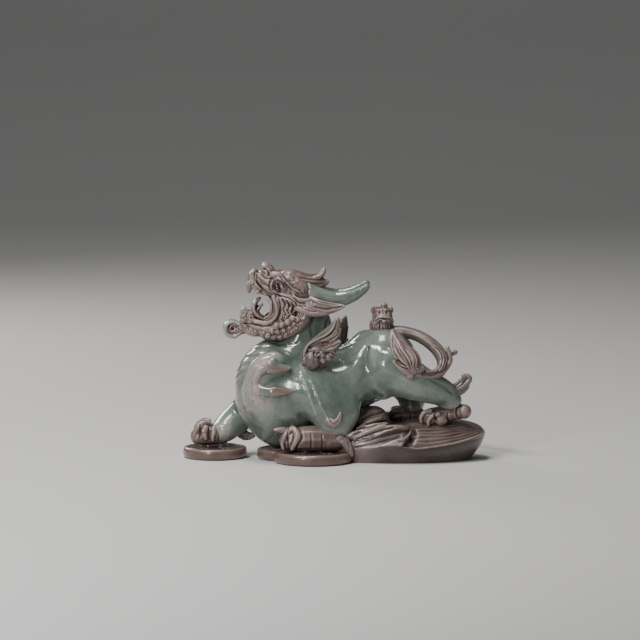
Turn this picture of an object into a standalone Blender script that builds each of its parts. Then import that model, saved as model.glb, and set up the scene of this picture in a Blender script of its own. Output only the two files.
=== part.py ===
"""A stoneware guardian beast: a winged, horned foo dog striding over coins and an ingot.

The figure is made the way a potter makes it. A hollow torso is cast first, and every other piece
is pressed on its own, trimmed to the piece it sits on, and luted there with slip. Each piece is one
object here, and LUTING_GAP is left between neighbours where the slip goes.

The beast looks along -X, its left flank faces -Y, and +Z is up. Lengths in the station lists are
in millimetres, in drawing coordinates; the finished figure is moved so that its origin is at the
middle of its footprint.
"""

import math

import bmesh
import bpy
from mathutils import Matrix, Vector

MM = 0.001

# Driving dimensions, in millimetres.
LUTING_GAP = 0.3
RIGHT_WING_SET = (5.0, 6.0)  # how much further back and lower the right wing is than the left one
WALL = 4.0
DRAIN_RADIUS = 4.5
DRAIN_PLACE = (2.0, 0.0, 36.0)
DRAIN_DEPTH = 22.0
COIN_HEIGHT = 7.0
COIN_FRONT_LEFT = (-14.5, -22.0, 26.0)
COIN_FRONT_RIGHT = (-79.0, 2.0, 21.0)
COIN_MIDDLE = (-32.0, -4.0, 19.5)
CHEST_CENTRE = (-33.0, 0.0, 42.0)
CHEST_RADII = (31.0, 29.0, 31.0)
RUMP_CENTRE = (31.0, 0.0, 64.0)
RUMP_RADII = (20.0, 24.0, 23.0)
INGOT_CENTRE = (43.5, -2.0)
INGOT_RIM = (55.5, 33.5)
INGOT_FOOT_CENTRE = (41.0, -7.0)
INGOT_FOOT = (47.0, 24.0)
WING_RIM_HEIGHT = 9.5
WING_RIM_CLIMB = 8.0
WING_CROWN_HEIGHT = 25.0
WING_CROWN_DROP = 7.5
WING_CROWN_INSET = 24.0
PETAL_RIM_HEIGHT = 12.5
PETAL_CROWN_HEIGHT = 22.5
PETAL_CROWN_INSET = 9.0
PETAL_END = 47.5
PETAL_END_BLEND = 6.0
DOME_CENTRE = (20.5, -5.0)
DOME_RADII = (18.5, 18.0, 35.0)
DOME_SHOULDER = (25.0, -6.0, 23.6)
DOME_SHOULDER_RADII = (11.0, 13.0, 11.4)
FAR_SIDE_DIP = 5.0
FAR_SIDE_FROM = 8.0
FAR_SIDE_BLEND = 10.0
HORN_SPREAD = 8.0

# How finely the meshes are drawn.
TUBE_SIDES = 8
SPAN_STEPS = 2
INGOT_SIDES = 40
COIN_SIDES = 24

ALONG_Y = Vector((0.0, 1.0, 0.0))
UP = Vector((0.0, 0.0, 1.0))
LEFT, RIGHT = -1, 1
SIDE_NAMES = {LEFT: "left", RIGHT: "right"}

# name: (red, green, blue), roughness, metallic
FINISHES = {
    "celadon_glaze": ((0.16, 0.23, 0.19), 0.15, 0.0),
    "violet_clay": ((0.20, 0.13, 0.115), 0.45, 0.0),
    "ingot_clay": ((0.17, 0.095, 0.07), 0.5, 0.0),
    "dark_glaze": ((0.03, 0.025, 0.025), 0.1, 0.0),
}

made_pieces = []


# --- Shared tools ---------------------------------------------------------------------------------


def clear_scene():
    """Removes whatever the scene starts with."""
    for thing in list(bpy.data.objects):
        bpy.data.objects.remove(thing)


def finish_material(name):
    """The Principled material of one finish."""
    material = bpy.data.materials.get(name)
    if material:
        return material
    colour, roughness, metallic = FINISHES[name]
    material = bpy.data.materials.new(name)
    material.use_nodes = True
    shader = material.node_tree.nodes["Principled BSDF"]
    shader.inputs["Base Color"].default_value = (*colour, 1.0)
    shader.inputs["Roughness"].default_value = roughness
    shader.inputs["Metallic"].default_value = metallic
    return material


def link_object(name, mesh):
    """A new object in the scene."""
    thing = bpy.data.objects.new(name, mesh)
    bpy.context.scene.collection.objects.link(thing)
    return thing


def mesh_from(bm, name):
    """A mesh from a bmesh, with its faces pointing out."""
    bmesh.ops.recalc_face_normals(bm, faces=bm.faces)
    mesh = bpy.data.meshes.new(name)
    bm.to_mesh(mesh)
    bm.free()
    return mesh


def blended(a, b, c, d, t):
    """A point between b and c on the smooth curve through four stations."""
    return tuple(
        0.5
        * (
            2 * q
            + (r - p) * t
            + (2 * p - 5 * q + 4 * r - s) * t * t
            + (3 * q - p - 3 * r + s) * t ** 3
        )
        for p, q, r, s in zip(a, b, c, d)
    )


def smooth_stations(stations, steps):
    """Stations added between the given ones, on a smooth curve."""
    padded = [stations[0], *stations, stations[-1]]
    fine = []
    for k in range(len(stations) - 1):
        fine += [blended(*padded[k : k + 4], t / steps) for t in range(steps)]
    fine.append(stations[-1])
    return fine


def rounded_ends(rings):
    """Rings (centre, tangent, across, thick) with two smaller rings added past each end."""
    result = []
    for end, sign in ((rings[0], -1), (rings[-1], 1)):
        centre, tangent, across, thick = end
        reach = min(across, thick)
        caps = [
            (
                centre + tangent * (sign * reach * math.sin(a)),
                tangent,
                across * math.cos(a),
                thick * math.cos(a),
            )
            for a in (math.radians(42), math.radians(74))
        ]
        result.append(caps[::-1] if sign < 0 else caps)
    return result[0] + rings + result[1]


def tube(bm, stations, normal=ALONG_Y, sides=TUBE_SIDES, steps=SPAN_STEPS):
    """A closed tube through stations (x, y, z, across, thick), with round ends.

    thick is its half size towards normal, across the half size square to that.
    """
    fine = smooth_stations([tuple(s) for s in stations], steps)
    centres = [Vector(s[:3]) for s in fine]
    rings = []
    for k, station in enumerate(fine):
        tangent = (centres[min(k + 1, len(fine) - 1)] - centres[max(k - 1, 0)]).normalized()
        rings.append((centres[k], tangent, station[3], station[4]))
    loops = []
    for centre, tangent, across, thick in rounded_ends(rings):
        flat = (normal - tangent * normal.dot(tangent)).normalized()
        side = flat.cross(tangent)
        turn = Matrix((side * across, flat * thick, tangent)).transposed().to_4x4()
        place = Matrix.Scale(MM, 4) @ Matrix.Translation(centre) @ turn
        verts = bmesh.ops.create_circle(bm, segments=sides, radius=1.0, matrix=place)["verts"]
        loops.append(list({edge for vert in verts for edge in vert.link_edges}))
    for first, second in zip(loops, loops[1:]):
        bmesh.ops.bridge_loops(bm, edges=first + second)
    for end in (loops[0], loops[-1]):
        bmesh.ops.contextual_create(bm, geom=end)


def ball(bm, centre, radii, detail=2):
    """A rounded lump with three half sizes."""
    place = Matrix.Translation(Vector(centre) * MM) @ Matrix.Diagonal((*(r * MM for r in radii), 1.0))
    bmesh.ops.create_icosphere(bm, subdivisions=detail, radius=1.0, matrix=place)


def evaluated_mesh(thing, name):
    """What the object's modifiers make of it, as a mesh of its own."""
    bpy.context.view_layer.update()
    graph = bpy.context.evaluated_depsgraph_get()
    return bpy.data.meshes.new_from_object(thing.evaluated_get(graph), depsgraph=graph).copy()


def apply_modifiers(thing):
    """Makes the object's mesh the one its modifiers give."""
    mesh = evaluated_mesh(thing, thing.name)
    thing.modifiers.clear()
    thing.data = mesh


def bodies_of(bm):
    """The separate bodies of a bmesh, each a set of vertices."""
    left = set(bm.verts)
    bodies = []
    while left:
        stack = [left.pop()]
        body = set(stack)
        while stack:
            for edge in stack.pop().link_edges:
                for vert in edge.verts:
                    if vert in left:
                        left.remove(vert)
                        body.add(vert)
                        stack.append(vert)
        bodies.append(body)
    return bodies


def main_body(mesh, weld):
    """The largest body of a mesh, after points within weld of each other are joined."""
    bm = bmesh.new()
    bm.from_mesh(mesh)
    if weld:
        bmesh.ops.remove_doubles(bm, verts=bm.verts, dist=weld * MM)
        bmesh.ops.dissolve_degenerate(bm, edges=bm.edges, dist=weld * MM)
    bodies = bodies_of(bm)
    areas = [
        sum(face.calc_area() for face in {f for v in body for f in v.link_faces}) for body in bodies
    ]
    if bodies:
        main = bodies[areas.index(max(areas))]
        bmesh.ops.delete(bm, geom=[v for v in bm.verts if v not in main], context="VERTS")
    bmesh.ops.triangulate(bm, faces=bm.faces)
    return bm


def is_sound(bm, least_volume):
    """Whether a bmesh is one closed body that faces outwards and still has some volume."""
    closed = all(edge.is_manifold and edge.is_contiguous for edge in bm.edges)
    fans = all(vert.is_manifold for vert in bm.verts)
    return closed and fans and bm.calc_volume(signed=True) > least_volume


def world_box(thing):
    """Lowest and highest corner of the object, in metres."""
    points = [thing.matrix_world @ v.co for v in thing.data.vertices]
    return (
        Vector(min(p[k] for p in points) for k in range(3)),
        Vector(max(p[k] for p in points) for k in range(3)),
    )


def boxes_meet(a, b):
    """Whether two objects' boxes come within the luting gap of each other."""
    (low_a, high_a), (low_b, high_b) = world_box(a), world_box(b)
    room = LUTING_GAP * MM
    return all(low_a[k] < high_b[k] + room and low_b[k] < high_a[k] + room for k in range(3))


def swollen_copy(form):
    """A helper as large as the form and the luting gap round it, used to trim its neighbours."""
    helper = link_object(form.name + ".trim", form.data)
    swell = helper.modifiers.new("luting_gap", "DISPLACE")
    swell.strength = LUTING_GAP * MM
    swell.mid_level = 0.0
    apply_modifiers(helper)
    helper.hide_render = True
    helper.display_type = "WIRE"
    return helper


def cut_away(thing, cutter, least_share=0.05):
    """Takes the cutter's volume out of the object, and keeps the largest body that is left.

    The cut is tried with each way of handling cutters that touch themselves, until one gives a
    closed body.
    """
    before = bmesh.new()
    before.from_mesh(thing.data)
    least_volume = least_share * before.calc_volume(signed=True)
    before.free()
    whole = thing.data
    for weld in (0.02, 0.004, 0.0):
        for touches_itself, tolerant in ((True, False), (True, True), (False, False), (False, True)):
            cut = thing.modifiers.new("trim", "BOOLEAN")
            cut.operation = "DIFFERENCE"
            cut.solver = "EXACT"
            cut.use_self = touches_itself
            cut.use_hole_tolerant = tolerant
            cut.object = cutter
            apply_modifiers(thing)
            bm = main_body(thing.data, weld)
            if is_sound(bm, least_volume):
                bm.to_mesh(thing.data)
                bm.free()
                return
            bm.free()
            thing.data = whole
    print("not trimmed:", thing.name, "by", cutter.name)


def trim(thing, cutters):
    """Cuts the object back from each cutter that it reaches."""
    for cutter in cutters:
        if boxes_meet(thing, cutter):
            cut_away(thing, cutter)


def shade(thing, finish, angle=40.0):
    """Smooth shading, with edges sharper than the angle kept, and the piece's finish."""
    thing.data.materials.clear()
    thing.data.materials.append(finish_material(finish))
    thing.data.shade_smooth()
    thing.data.set_sharp_from_angle(angle=math.radians(angle))


def add_piece(name, bm, finish):
    """Turns a bmesh into a piece, trimmed to every piece that was made before it."""
    thing = link_object(name, mesh_from(bm, name))
    trim(thing, [helper for _, helper in made_pieces])
    shade(thing, finish)
    made_pieces.append((thing, swollen_copy(thing)))
    return thing


def merged(bm, voxel, smooth_steps, keep):
    """One skin round overlapping shapes: remeshed, smoothed, then thinned to a share of its faces."""
    helper = link_object("merge", mesh_from(bm, "merge"))
    remesh = helper.modifiers.new("skin", "REMESH")
    remesh.mode = "VOXEL"
    remesh.voxel_size = voxel * MM
    smooth = helper.modifiers.new("smooth", "SMOOTH")
    smooth.factor = 0.5
    smooth.iterations = smooth_steps
    thin = helper.modifiers.new("thin", "DECIMATE")
    thin.ratio = keep
    apply_modifiers(helper)
    result = bmesh.new()
    result.from_mesh(helper.data)
    bpy.data.objects.remove(helper)
    return result


def cut_flat_below(bm, height):
    """Takes away everything under a level and closes the cut with a flat face."""
    bmesh.ops.bisect_plane(
        bm,
        geom=list(bm.verts) + list(bm.edges) + list(bm.faces),
        plane_co=Vector((0.0, 0.0, height * MM)),
        plane_no=UP,
        clear_inner=True,
    )
    open_edges = [edge for edge in bm.edges if edge.is_boundary]
    bmesh.ops.contextual_create(bm, geom=open_edges)


def mirrored(stations, side):
    """Stations drawn for the right side (+Y), moved to the given side."""
    return [(s[0], side * s[1], *s[2:]) for s in stations]


# --- Coins and ingot ------------------------------------------------------------------------------


def make_coin(name, place):
    """A thick cushion-edged coin with a raised rim and a raised middle."""
    x, y, radius = place
    profile = [
        (radius * 0.9, 0.0),
        (radius * 0.97, 0.22),
        (radius, 0.55),
        (radius * 0.975, 0.88),
        (radius * 0.93, 1.0),
        (radius * 0.86, 0.97),
        (radius * 0.83, 0.86),
        (radius * 0.72, 0.86),
        (radius * 0.69, 0.97),
    ]
    bm = bmesh.new()
    loops = []
    for ring_radius, height in profile:
        place = Matrix.Translation(Vector((x, y, height * COIN_HEIGHT)) * MM)
        made = bmesh.ops.create_circle(bm, segments=COIN_SIDES, radius=ring_radius * MM, matrix=place)
        loops.append(list({edge for vert in made["verts"] for edge in vert.link_edges}))
    for first, second in zip(loops, loops[1:]):
        bmesh.ops.bridge_loops(bm, edges=first + second)
    for end in (loops[0], loops[-1]):
        bmesh.ops.contextual_create(bm, geom=end)
    return add_piece(name, bm, "violet_clay")


def ease(value):
    """A soft step from 0 to 1."""
    held = min(max(value, 0.0), 1.0)
    return held * held * (3.0 - 2.0 * held)


def ingot_top_height(x, y):
    """Height of the ingot's upper side.

    Near the dome the front lip is a petal that rises steeply. Past PETAL_END it drops to a broad
    wing that climbs from a low front rim to a crown, and the crown dips towards the tip. The far
    side lies lower, where the right hind paw stands.
    """
    along = min(max((x - INGOT_CENTRE[0]) / INGOT_RIM[0], -1.0), 1.0)
    inward = y - (INGOT_CENTRE[1] - INGOT_RIM[1] * math.sqrt(1.0 - along * along))
    towards_tip = max(along, 0.0)
    wing_rim = WING_RIM_HEIGHT + WING_RIM_CLIMB * towards_tip ** 2
    wing_crown = WING_CROWN_HEIGHT - WING_CROWN_DROP * towards_tip ** 6
    climb = math.sin(math.radians(90) * min(inward / WING_CROWN_INSET, 1.0))
    wing = wing_rim + (wing_crown - wing_rim) * climb
    petal_climb = ease(inward / PETAL_CROWN_INSET)
    petal = PETAL_RIM_HEIGHT + (PETAL_CROWN_HEIGHT - PETAL_RIM_HEIGHT) * petal_climb
    near_side = wing + (petal - wing) * ease((PETAL_END - x) / PETAL_END_BLEND + 0.5)
    return near_side - FAR_SIDE_DIP * ease((y - FAR_SIDE_FROM) / FAR_SIDE_BLEND)


def make_ingot():
    """A boat-shaped ingot: a small foot, flared sides, a broad lip and a domed middle."""
    flare = [(-0.12, -0.15), (0.0, 0.0), (0.35, 0.2), (0.7, 0.5), (0.94, 0.84), (1.0, 1.0)]
    inward = [0.97, 0.92, 0.85, 0.75, 0.62, 0.45, 0.25, 0.08]
    bm = bmesh.new()
    loops = []
    for spread, rise in flare + [(share, None) for share in inward]:
        made = bmesh.ops.create_circle(bm, segments=INGOT_SIDES, radius=1.0)
        for vert in made["verts"]:
            angle = math.atan2(vert.co.y, vert.co.x)
            if rise is None:
                centre, half = INGOT_CENTRE, [rim * spread for rim in INGOT_RIM]
            else:
                centre = [
                    low + (high - low) * spread for low, high in zip(INGOT_FOOT_CENTRE, INGOT_CENTRE)
                ]
                half = [foot + (rim - foot) * spread for foot, rim in zip(INGOT_FOOT, INGOT_RIM)]
            x = centre[0] + half[0] * math.cos(angle)
            y = centre[1] + half[1] * math.sin(angle)
            vert.co = Vector((x, y, ingot_top_height(x, y) * (1.0 if rise is None else rise))) * MM
        loops.append(list({edge for vert in made["verts"] for edge in vert.link_edges}))
    for first, second in zip(loops, loops[1:]):
        bmesh.ops.bridge_loops(bm, edges=first + second)
    for end in (loops[0], loops[-1]):
        bmesh.ops.contextual_create(bm, geom=end)
    ball(bm, (*DOME_CENTRE, 0.4 * DOME_RADII[2]), (*DOME_RADII[:2], 0.6 * DOME_RADII[2]), 3)
    ball(bm, DOME_SHOULDER, DOME_SHOULDER_RADII, 3)
    whole = merged(bm, voxel=1.5, smooth_steps=3, keep=0.06)
    cut_flat_below(whole, 0.0)
    return add_piece("ingot", whole, "ingot_clay")


def make_cloud_scroll():
    """The small scroll of ribbon between the front coin and the ingot."""
    bm = bmesh.new()
    tube(
        bm,
        [
            (9.6, -29, 6, 2.6, 2.4),
            (8.6, -30.5, 10, 3, 2.6),
            (6, -31.5, 14, 3.2, 2.6),
            (2.6, -31.5, 16, 2.4, 2.2),
        ],
    )
    return add_piece("cloud_scroll", bm, "violet_clay")


# --- Torso and legs -------------------------------------------------------------------------------


def make_torso():
    """The cast torso: round chest, dipped back, high rump and neck, hollow, with a drain hole."""
    bm = bmesh.new()
    ball(bm, CHEST_CENTRE, CHEST_RADII, 3)
    ball(bm, RUMP_CENTRE, RUMP_RADII, 3)
    tube(
        bm,
        [
            (-33, 0, 43, 28, 27),
            (-14, 0, 44.5, 24, 22),
            (5, 0, 50, 21.5, 20),
            (20, 0, 57, 21.5, 21),
            (31, 0, 64, 22, 22),
        ],
        sides=16,
    )
    tube(
        bm,
        [(-30, 0, 52, 22, 22), (-24, 0, 70, 16, 15.5), (-19.5, 0, 84, 14, 12.5), (-21, 0, 95, 13, 12)],
        sides=16,
    )
    skin = merged(bm, voxel=3.2, smooth_steps=8, keep=0.22)
    torso = add_piece("torso", skin, "celadon_glaze")
    hollow = link_object("casting_hollow", torso.data.copy())
    shrink = hollow.modifiers.new("wall", "DISPLACE")
    shrink.strength = -WALL * MM
    shrink.mid_level = 0.0
    even = hollow.modifiers.new("even", "SMOOTH")
    even.iterations = 4
    thin = hollow.modifiers.new("thin", "DECIMATE")
    thin.ratio = 0.4
    drain = bmesh.new()
    bmesh.ops.create_cone(
        drain,
        cap_ends=True,
        segments=20,
        radius1=DRAIN_RADIUS * MM,
        radius2=DRAIN_RADIUS * MM,
        depth=DRAIN_DEPTH * MM,
        matrix=Matrix.Translation(Vector(DRAIN_PLACE) * MM),
    )
    hole = link_object("drain_hole", mesh_from(drain, "drain_hole"))
    apply_modifiers(hollow)
    join = hollow.modifiers.new("drain", "BOOLEAN")
    join.operation = "UNION"
    join.solver = "EXACT"
    join.object = hole
    apply_modifiers(hollow)
    for helper in (hollow, hole):
        helper.hide_render = True
        helper.display_type = "WIRE"
    cut_away(torso, hollow)
    shade(torso, "celadon_glaze")
    return torso


LEGS = {
    "front_leg_left": [
        (-22, -15, 52, 13, 11),
        (-12, -21, 41, 12, 9),
        (-3, -24.5, 31, 11, 8.5),
        (-3, -25, 23, 10.5, 8),
    ],
    "front_leg_right": [
        (-40, 15, 48, 13, 11),
        (-52, 15, 36, 11, 10),
        (-63, 11, 25, 9, 8.5),
        (-72, 6, 17.5, 7.5, 7.5),
    ],
    "hind_leg_left": [
        (33, -12, 62, 18, 14),
        (47, -17, 54, 13.5, 11.5),
        (60, -16, 48.5, 10.5, 9.5),
        (71, -12, 43.5, 8.5, 8.5),
        (75.5, -10, 36.5, 7.5, 7.5),
    ],
    "hind_leg_right": [
        (33, 13, 60, 17, 13),
        (43, 19, 49, 12.5, 11),
        (50, 21, 38, 9.5, 9),
        (50, 21, 29, 8, 8),
    ],
}

PAWS = {
    "paw_front_left": [
        (-1, -25, 15.2, 7.6, 7.5),
        (-10, -25.5, 16, 8.4, 8.5),
        (-21, -25.5, 15.8, 8.2, 9.5),
        (-30, -25.5, 14.4, 6.6, 8.5),
    ],
    "paw_front_right": [
        (-75, 4.5, 13.8, 6.2, 7),
        (-82, 2.5, 15, 7.4, 9),
        (-89, 0.5, 13.8, 6.2, 8),
    ],
    "paw_hind_left": [
        (84, -10, 31.6, 4.8, 5.5),
        (77, -10, 30.8, 5, 7),
        (69, -10.5, 29.4, 5.6, 8),
        (62, -11, 28.4, 5.4, 7.5),
    ],
    "paw_hind_right": [
        (54, 21, 25.8, 5.2, 6.5),
        (46, 21, 25.8, 6, 8),
        (38, 20.5, 24.6, 5, 7),
    ],
}

FLAMES = {
    "elbow_flame_left": [
        (-7, -32.5, 27.5, 3.4, 2.6),
        (-2, -34, 25.5, 3.8, 2.8),
        (2, -33.5, 28.5, 2.4, 2),
        (3, -32.5, 33, 1, 1),
    ],
    "elbow_flame_right": [
        (-64, 10, 17, 4, 3),
        (-59, 9, 13, 3.4, 2.6),
        (-54, 8, 13.5, 1.8, 1.6),
        (-51, 7.5, 16, 0.8, 0.8),
    ],
    "hock_flame_left": [
        (74, -11, 46, 3.6, 3),
        (80, -10.5, 45.5, 4, 3),
        (84.6, -10, 48, 3.2, 2.6),
        (86, -10, 52.5, 2.6, 2.4),
    ],
    "hock_flame_right": [
        (54, 21, 44, 4, 3),
        (60, 21.5, 44.5, 3.6, 2.8),
        (63.5, 22, 49, 2.4, 2),
        (64.5, 22, 54, 1.4, 1.2),
    ],
}


def make_limbs():
    """Paws first, then the legs that stand on them, then the flame curls at elbow and hock."""
    for name, stations in PAWS.items():
        bm = bmesh.new()
        tube(bm, stations, sides=10)
        add_piece(name, bm, "violet_clay")
    for name, stations in LEGS.items():
        bm = bmesh.new()
        tube(bm, stations, sides=10)
        add_piece(name, bm, "celadon_glaze")
    for name, stations in FLAMES.items():
        bm = bmesh.new()
        tube(bm, stations)
        add_piece(name, bm, "violet_clay")


# --- Relief on the body ---------------------------------------------------------------------------


def make_chest_plate():
    """The scaled plate that runs down the throat and chest."""
    bm = bmesh.new()
    stations = [
        (-42, 0, 71.5, 3, 8),
        (-53, 0, 62.5, 3, 11),
        (-60.3, 0, 53, 3, 12.5),
        (-62.2, 0, 41, 3, 12.5),
        (-59, 0, 28.5, 3, 11),
        (-49.5, 0, 16.5, 3, 8),
    ]
    tube(bm, stations, sides=10)
    add_piece("chest_plate", bm, "celadon_glaze")


def make_shoulder_flame(side):
    """The flame ornament on one shoulder: a curl with two tongues that lick backwards."""
    curl = [
        (-41, 24.5, 66, 4, 6), (-50, 21.5, 59, 5, 6), (-53.5, 19.5, 48, 4.5, 6), (-50, 19, 37, 3.2, 6)
    ]
    upper = [(-49, 22, 62, 3.5, 6), (-40, 25.5, 61.5, 4, 5), (-29, 27, 62.5, 1.4, 3)]
    lower = [(-50, 21.5, 47.5, 4.5, 6), (-40, 27, 46.5, 4.5, 5), (-27, 28.5, 47.5, 1.4, 3)]
    bm = bmesh.new()
    for stations in (curl, upper, lower):
        tube(bm, mirrored(stations, side))
    skin = merged(bm, voxel=1.6, smooth_steps=3, keep=0.16)
    add_piece(f"shoulder_flame_{SIDE_NAMES[side]}", skin, "violet_clay")


def make_spine_ridge():
    """The raised cord along the dip of the back, from between the wings to the cub."""
    bm = bmesh.new()
    tube(
        bm,
        [
            (-8, 0, 68.5, 2.6, 4.2),
            (1, 0, 68.6, 2.6, 4.2),
            (10, 0, 74, 2.6, 4.2),
            (18, 0, 81.6, 2.6, 4.2),
        ],
    )
    add_piece("spine_ridge", bm, "celadon_glaze")


# --- Head -----------------------------------------------------------------------------------------


def make_skull():
    """Cranium and upper jaw in one pressing, thrown back so that the nose points up."""
    bm = bmesh.new()
    ball(bm, (-26, 0, 106), (14, 14.5, 12.5), 3)
    tube(
        bm,
        [
            (-26, 0, 106, 12, 13),
            (-36, 0, 112, 10.5, 12),
            (-45, 0, 116, 9, 10),
            (-49.5, 0, 117.5, 8.5, 8.5),
        ],
        sides=12,
    )
    for side in (LEFT, RIGHT):
        tube(
            bm, mirrored([(-37, 8, 118, 3.5, 3), (-30, 9.5, 119, 4.5, 4), (-21, 11, 113, 4, 3.5)], side)
        )
        ball(bm, (-44, side * 5, 123.5), (4.2, 4, 4.2))
        tube(
            bm,
            mirrored([(-36, 11, 104, 3, 2.4), (-33.5, 12, 97, 3.2, 2.6), (-37, 11, 89, 3, 2.4)], side),
        )
    skin = merged(bm, voxel=1.7, smooth_steps=3, keep=0.15)
    add_piece("skull", skin, "violet_clay")


def make_lower_jaw():
    """The dropped lower jaw, a scoop with a raised lip all round."""
    bm = bmesh.new()
    tube(
        bm,
        [
            (-33, 0, 90, 6, 10.5),
            (-40, 0, 84.5, 4, 10.5),
            (-49, 0, 83, 3.6, 9.5),
            (-56, 0, 86.5, 3.6, 7),
        ],
        sides=10,
    )
    for side in (LEFT, RIGHT):
        lip = [
            (-34, 10, 92, 2.6, 2.2),
            (-40, 10, 86.5, 2.6, 2),
            (-49, 9, 86, 2.4, 2),
            (-56.5, 5, 89.5, 2.4, 2),
            (-58, 0, 90.5, 2.4, 2),
        ]
        tube(bm, mirrored(lip, side))
    skin = merged(bm, voxel=1.4, smooth_steps=2, keep=0.16)
    add_piece("lower_jaw", skin, "violet_clay")


def make_mouth_pieces():
    """Tongue and the four fangs."""
    bm = bmesh.new()
    tongue = [
        (-37, 0, 90, 1.8, 5),
        (-44, 0, 88.8, 1.8, 5),
        (-50, 0, 91.5, 1.8, 4.5),
        (-51, 0, 97, 1.5, 3.4),
        (-48, 0, 101, 1, 2),
    ]
    tube(bm, tongue)
    add_piece("tongue", bm, "violet_clay")
    for side in (LEFT, RIGHT):
        upper = bmesh.new()
        tube(
            upper,
            mirrored(
                [(-53.5, 6, 116.5, 2.4, 2), (-56, 6.2, 112, 2.2, 1.8), (-56.8, 6.2, 107, 1, 0.8)], side
            ),
            sides=8,
        )
        add_piece(f"upper_fang_{SIDE_NAMES[side]}", upper, "violet_clay")
        lower = bmesh.new()
        tube(
            lower,
            mirrored(
                [(-58, 4.5, 92, 2.2, 1.8), (-59.8, 4.8, 96, 1.6, 1.4), (-60.2, 5, 99.5, 1, 0.8)], side
            ),
            sides=8,
        )
        add_piece(f"lower_fang_{SIDE_NAMES[side]}", lower, "violet_clay")


def make_mane(side):
    """One cheek's mane: a broad ruff that hangs from the ear to the throat."""
    stations = [
        (-19.5, 12.5, 99.5, 4.2, 4),
        (-20.8, 13.5, 93, 4.4, 4.5),
        (-24.8, 13, 88, 4.4, 5),
        (-31.5, 11, 83.6, 3.9, 5),
        (-39.5, 7.5, 81.2, 3.4, 4.6),
        (-46.5, 3.5, 81.4, 3, 3.6),
    ]
    bm = bmesh.new()
    tube(bm, mirrored(stations, side), sides=10)
    add_piece(f"mane_{SIDE_NAMES[side]}", bm, "violet_clay")


def make_chin_beard():
    """The beard that juts from the chin and ends in a rolled scroll."""
    bm = bmesh.new()
    tube(
        bm,
        [
            (-50, 0, 80.5, 3, 5.5),
            (-57, 0, 81.6, 3.2, 5.5),
            (-63, 0, 82.6, 3.4, 5),
            (-69, 0, 85.3, 4.6, 5),
        ],
    )
    add_piece("chin_beard", bm, "violet_clay")


def make_head_trim(side):
    """The pieces that come in pairs on the head: eye pellet, horn and ear."""
    name = SIDE_NAMES[side]
    eye = bmesh.new()
    ball(eye, (-37.5, side * 10.6, 112.2), (2.8, 2.6, 2.8))
    add_piece(f"eye_{name}", eye, "dark_glaze")
    horn = [
        (-19, HORN_SPREAD - 1, 111, 5.2, 4.6),
        (-10, HORN_SPREAD, 107, 5.4, 4.8),
        (1, HORN_SPREAD + 1, 105, 5, 4.4),
        (12, HORN_SPREAD + 2, 108, 4, 3.6),
        (20.5, HORN_SPREAD + 3, 113.6, 2.2, 2),
    ]
    bm = bmesh.new()
    tube(bm, mirrored(horn, side), sides=10)
    add_piece(f"horn_{name}", bm, "celadon_glaze")
    ear = [
        (-19, 13.5, 101.5, 4, 2.6),
        (-10, 15.5, 99.8, 4.6, 2.4),
        (-1, 17, 100.4, 3.2, 2),
        (5.5, 18, 101.6, 1, 0.9),
    ]
    bm = bmesh.new()
    tube(bm, mirrored(ear, side))
    add_piece(f"ear_{name}", bm, "violet_clay")


def make_crest():
    """The forehead's flame: a smooth bulge that sweeps back into two points."""
    bm = bmesh.new()
    tube(
        bm,
        [
            (-34, 0, 117, 4, 6),
            (-28, 0, 118, 6.2, 8),
            (-20, 0, 116.5, 5, 8),
            (-13, 0, 117.5, 3.6, 6.5),
            (-7.5, 0, 122.5, 1.4, 3),
        ],
    )
    tube(bm, [(-19, 0, 114.5, 4, 7), (-11, 0, 114.5, 3, 6), (-5.5, 0, 115, 1.6, 3.4)])
    skin = merged(bm, voxel=1.5, smooth_steps=2, keep=0.25)
    add_piece("crest", skin, "violet_clay")


# --- Wings, tail and cub --------------------------------------------------------------------------


def make_wing(side):
    """One wing: a rounded shoulder that fans up and back into a point."""
    stations = [
        (-13.5, 19.5, 65, 7.6, 3.6),
        (-10, 23.5, 72.6, 10, 3.2),
        (-4.6, 27, 80.4, 7.8, 2.8),
        (-0.6, 29.5, 88, 4.6, 2.2),
        (1.4, 31, 95, 1.6, 1.4),
    ]
    if side == RIGHT:
        back, drop = RIGHT_WING_SET
        stations = [(x + back, y, z - drop, across, thick) for x, y, z, across, thick in stations]
    bm = bmesh.new()
    tube(bm, mirrored(stations, side), sides=10)
    add_piece(f"wing_{SIDE_NAMES[side]}", bm, "violet_clay")


def make_tail():
    """The tail springs from the rump, loops out behind and comes back to lie on the left haunch."""
    bm = bmesh.new()
    loop = [
        (35, 0, 82.6, 4.2, 4.8),
        (43, -1, 83, 3.9, 4.4),
        (51, -3, 81.6, 3.8, 4.2),
        (59, -6.5, 78.2, 4, 4.2),
        (66.5, -10.5, 72.2, 4.2, 4.2),
        (70.4, -14, 65, 4.2, 4),
        (68.4, -18.5, 58.8, 3.6, 3.4),
        (62, -22.5, 57, 3, 2.9),
        (54, -25.5, 58, 2.7, 2.6),
    ]
    tube(bm, loop, sides=10)
    add_piece("tail", bm, "violet_clay")
    bm = bmesh.new()
    tube(bm, [(71, -11, 69, 1.8, 1.8), (75.5, -10.5, 69.6, 1.7, 1.7), (78.2, -10, 70.4, 1.8, 1.8)], sides=8)
    add_piece("tail_spur", bm, "violet_clay")
    bm = bmesh.new()
    tuft = [
        (54.5, -26.5, 61, 3, 2.4),
        (48.5, -26.5, 65, 5.6, 3),
        (44, -24, 71, 6.6, 3.2),
        (40.5, -19, 78, 4.6, 2.8),
        (37, -13, 85, 1.4, 1.2),
    ]
    tube(bm, tuft, sides=10)
    add_piece("tail_tuft", bm, "violet_clay")


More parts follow.
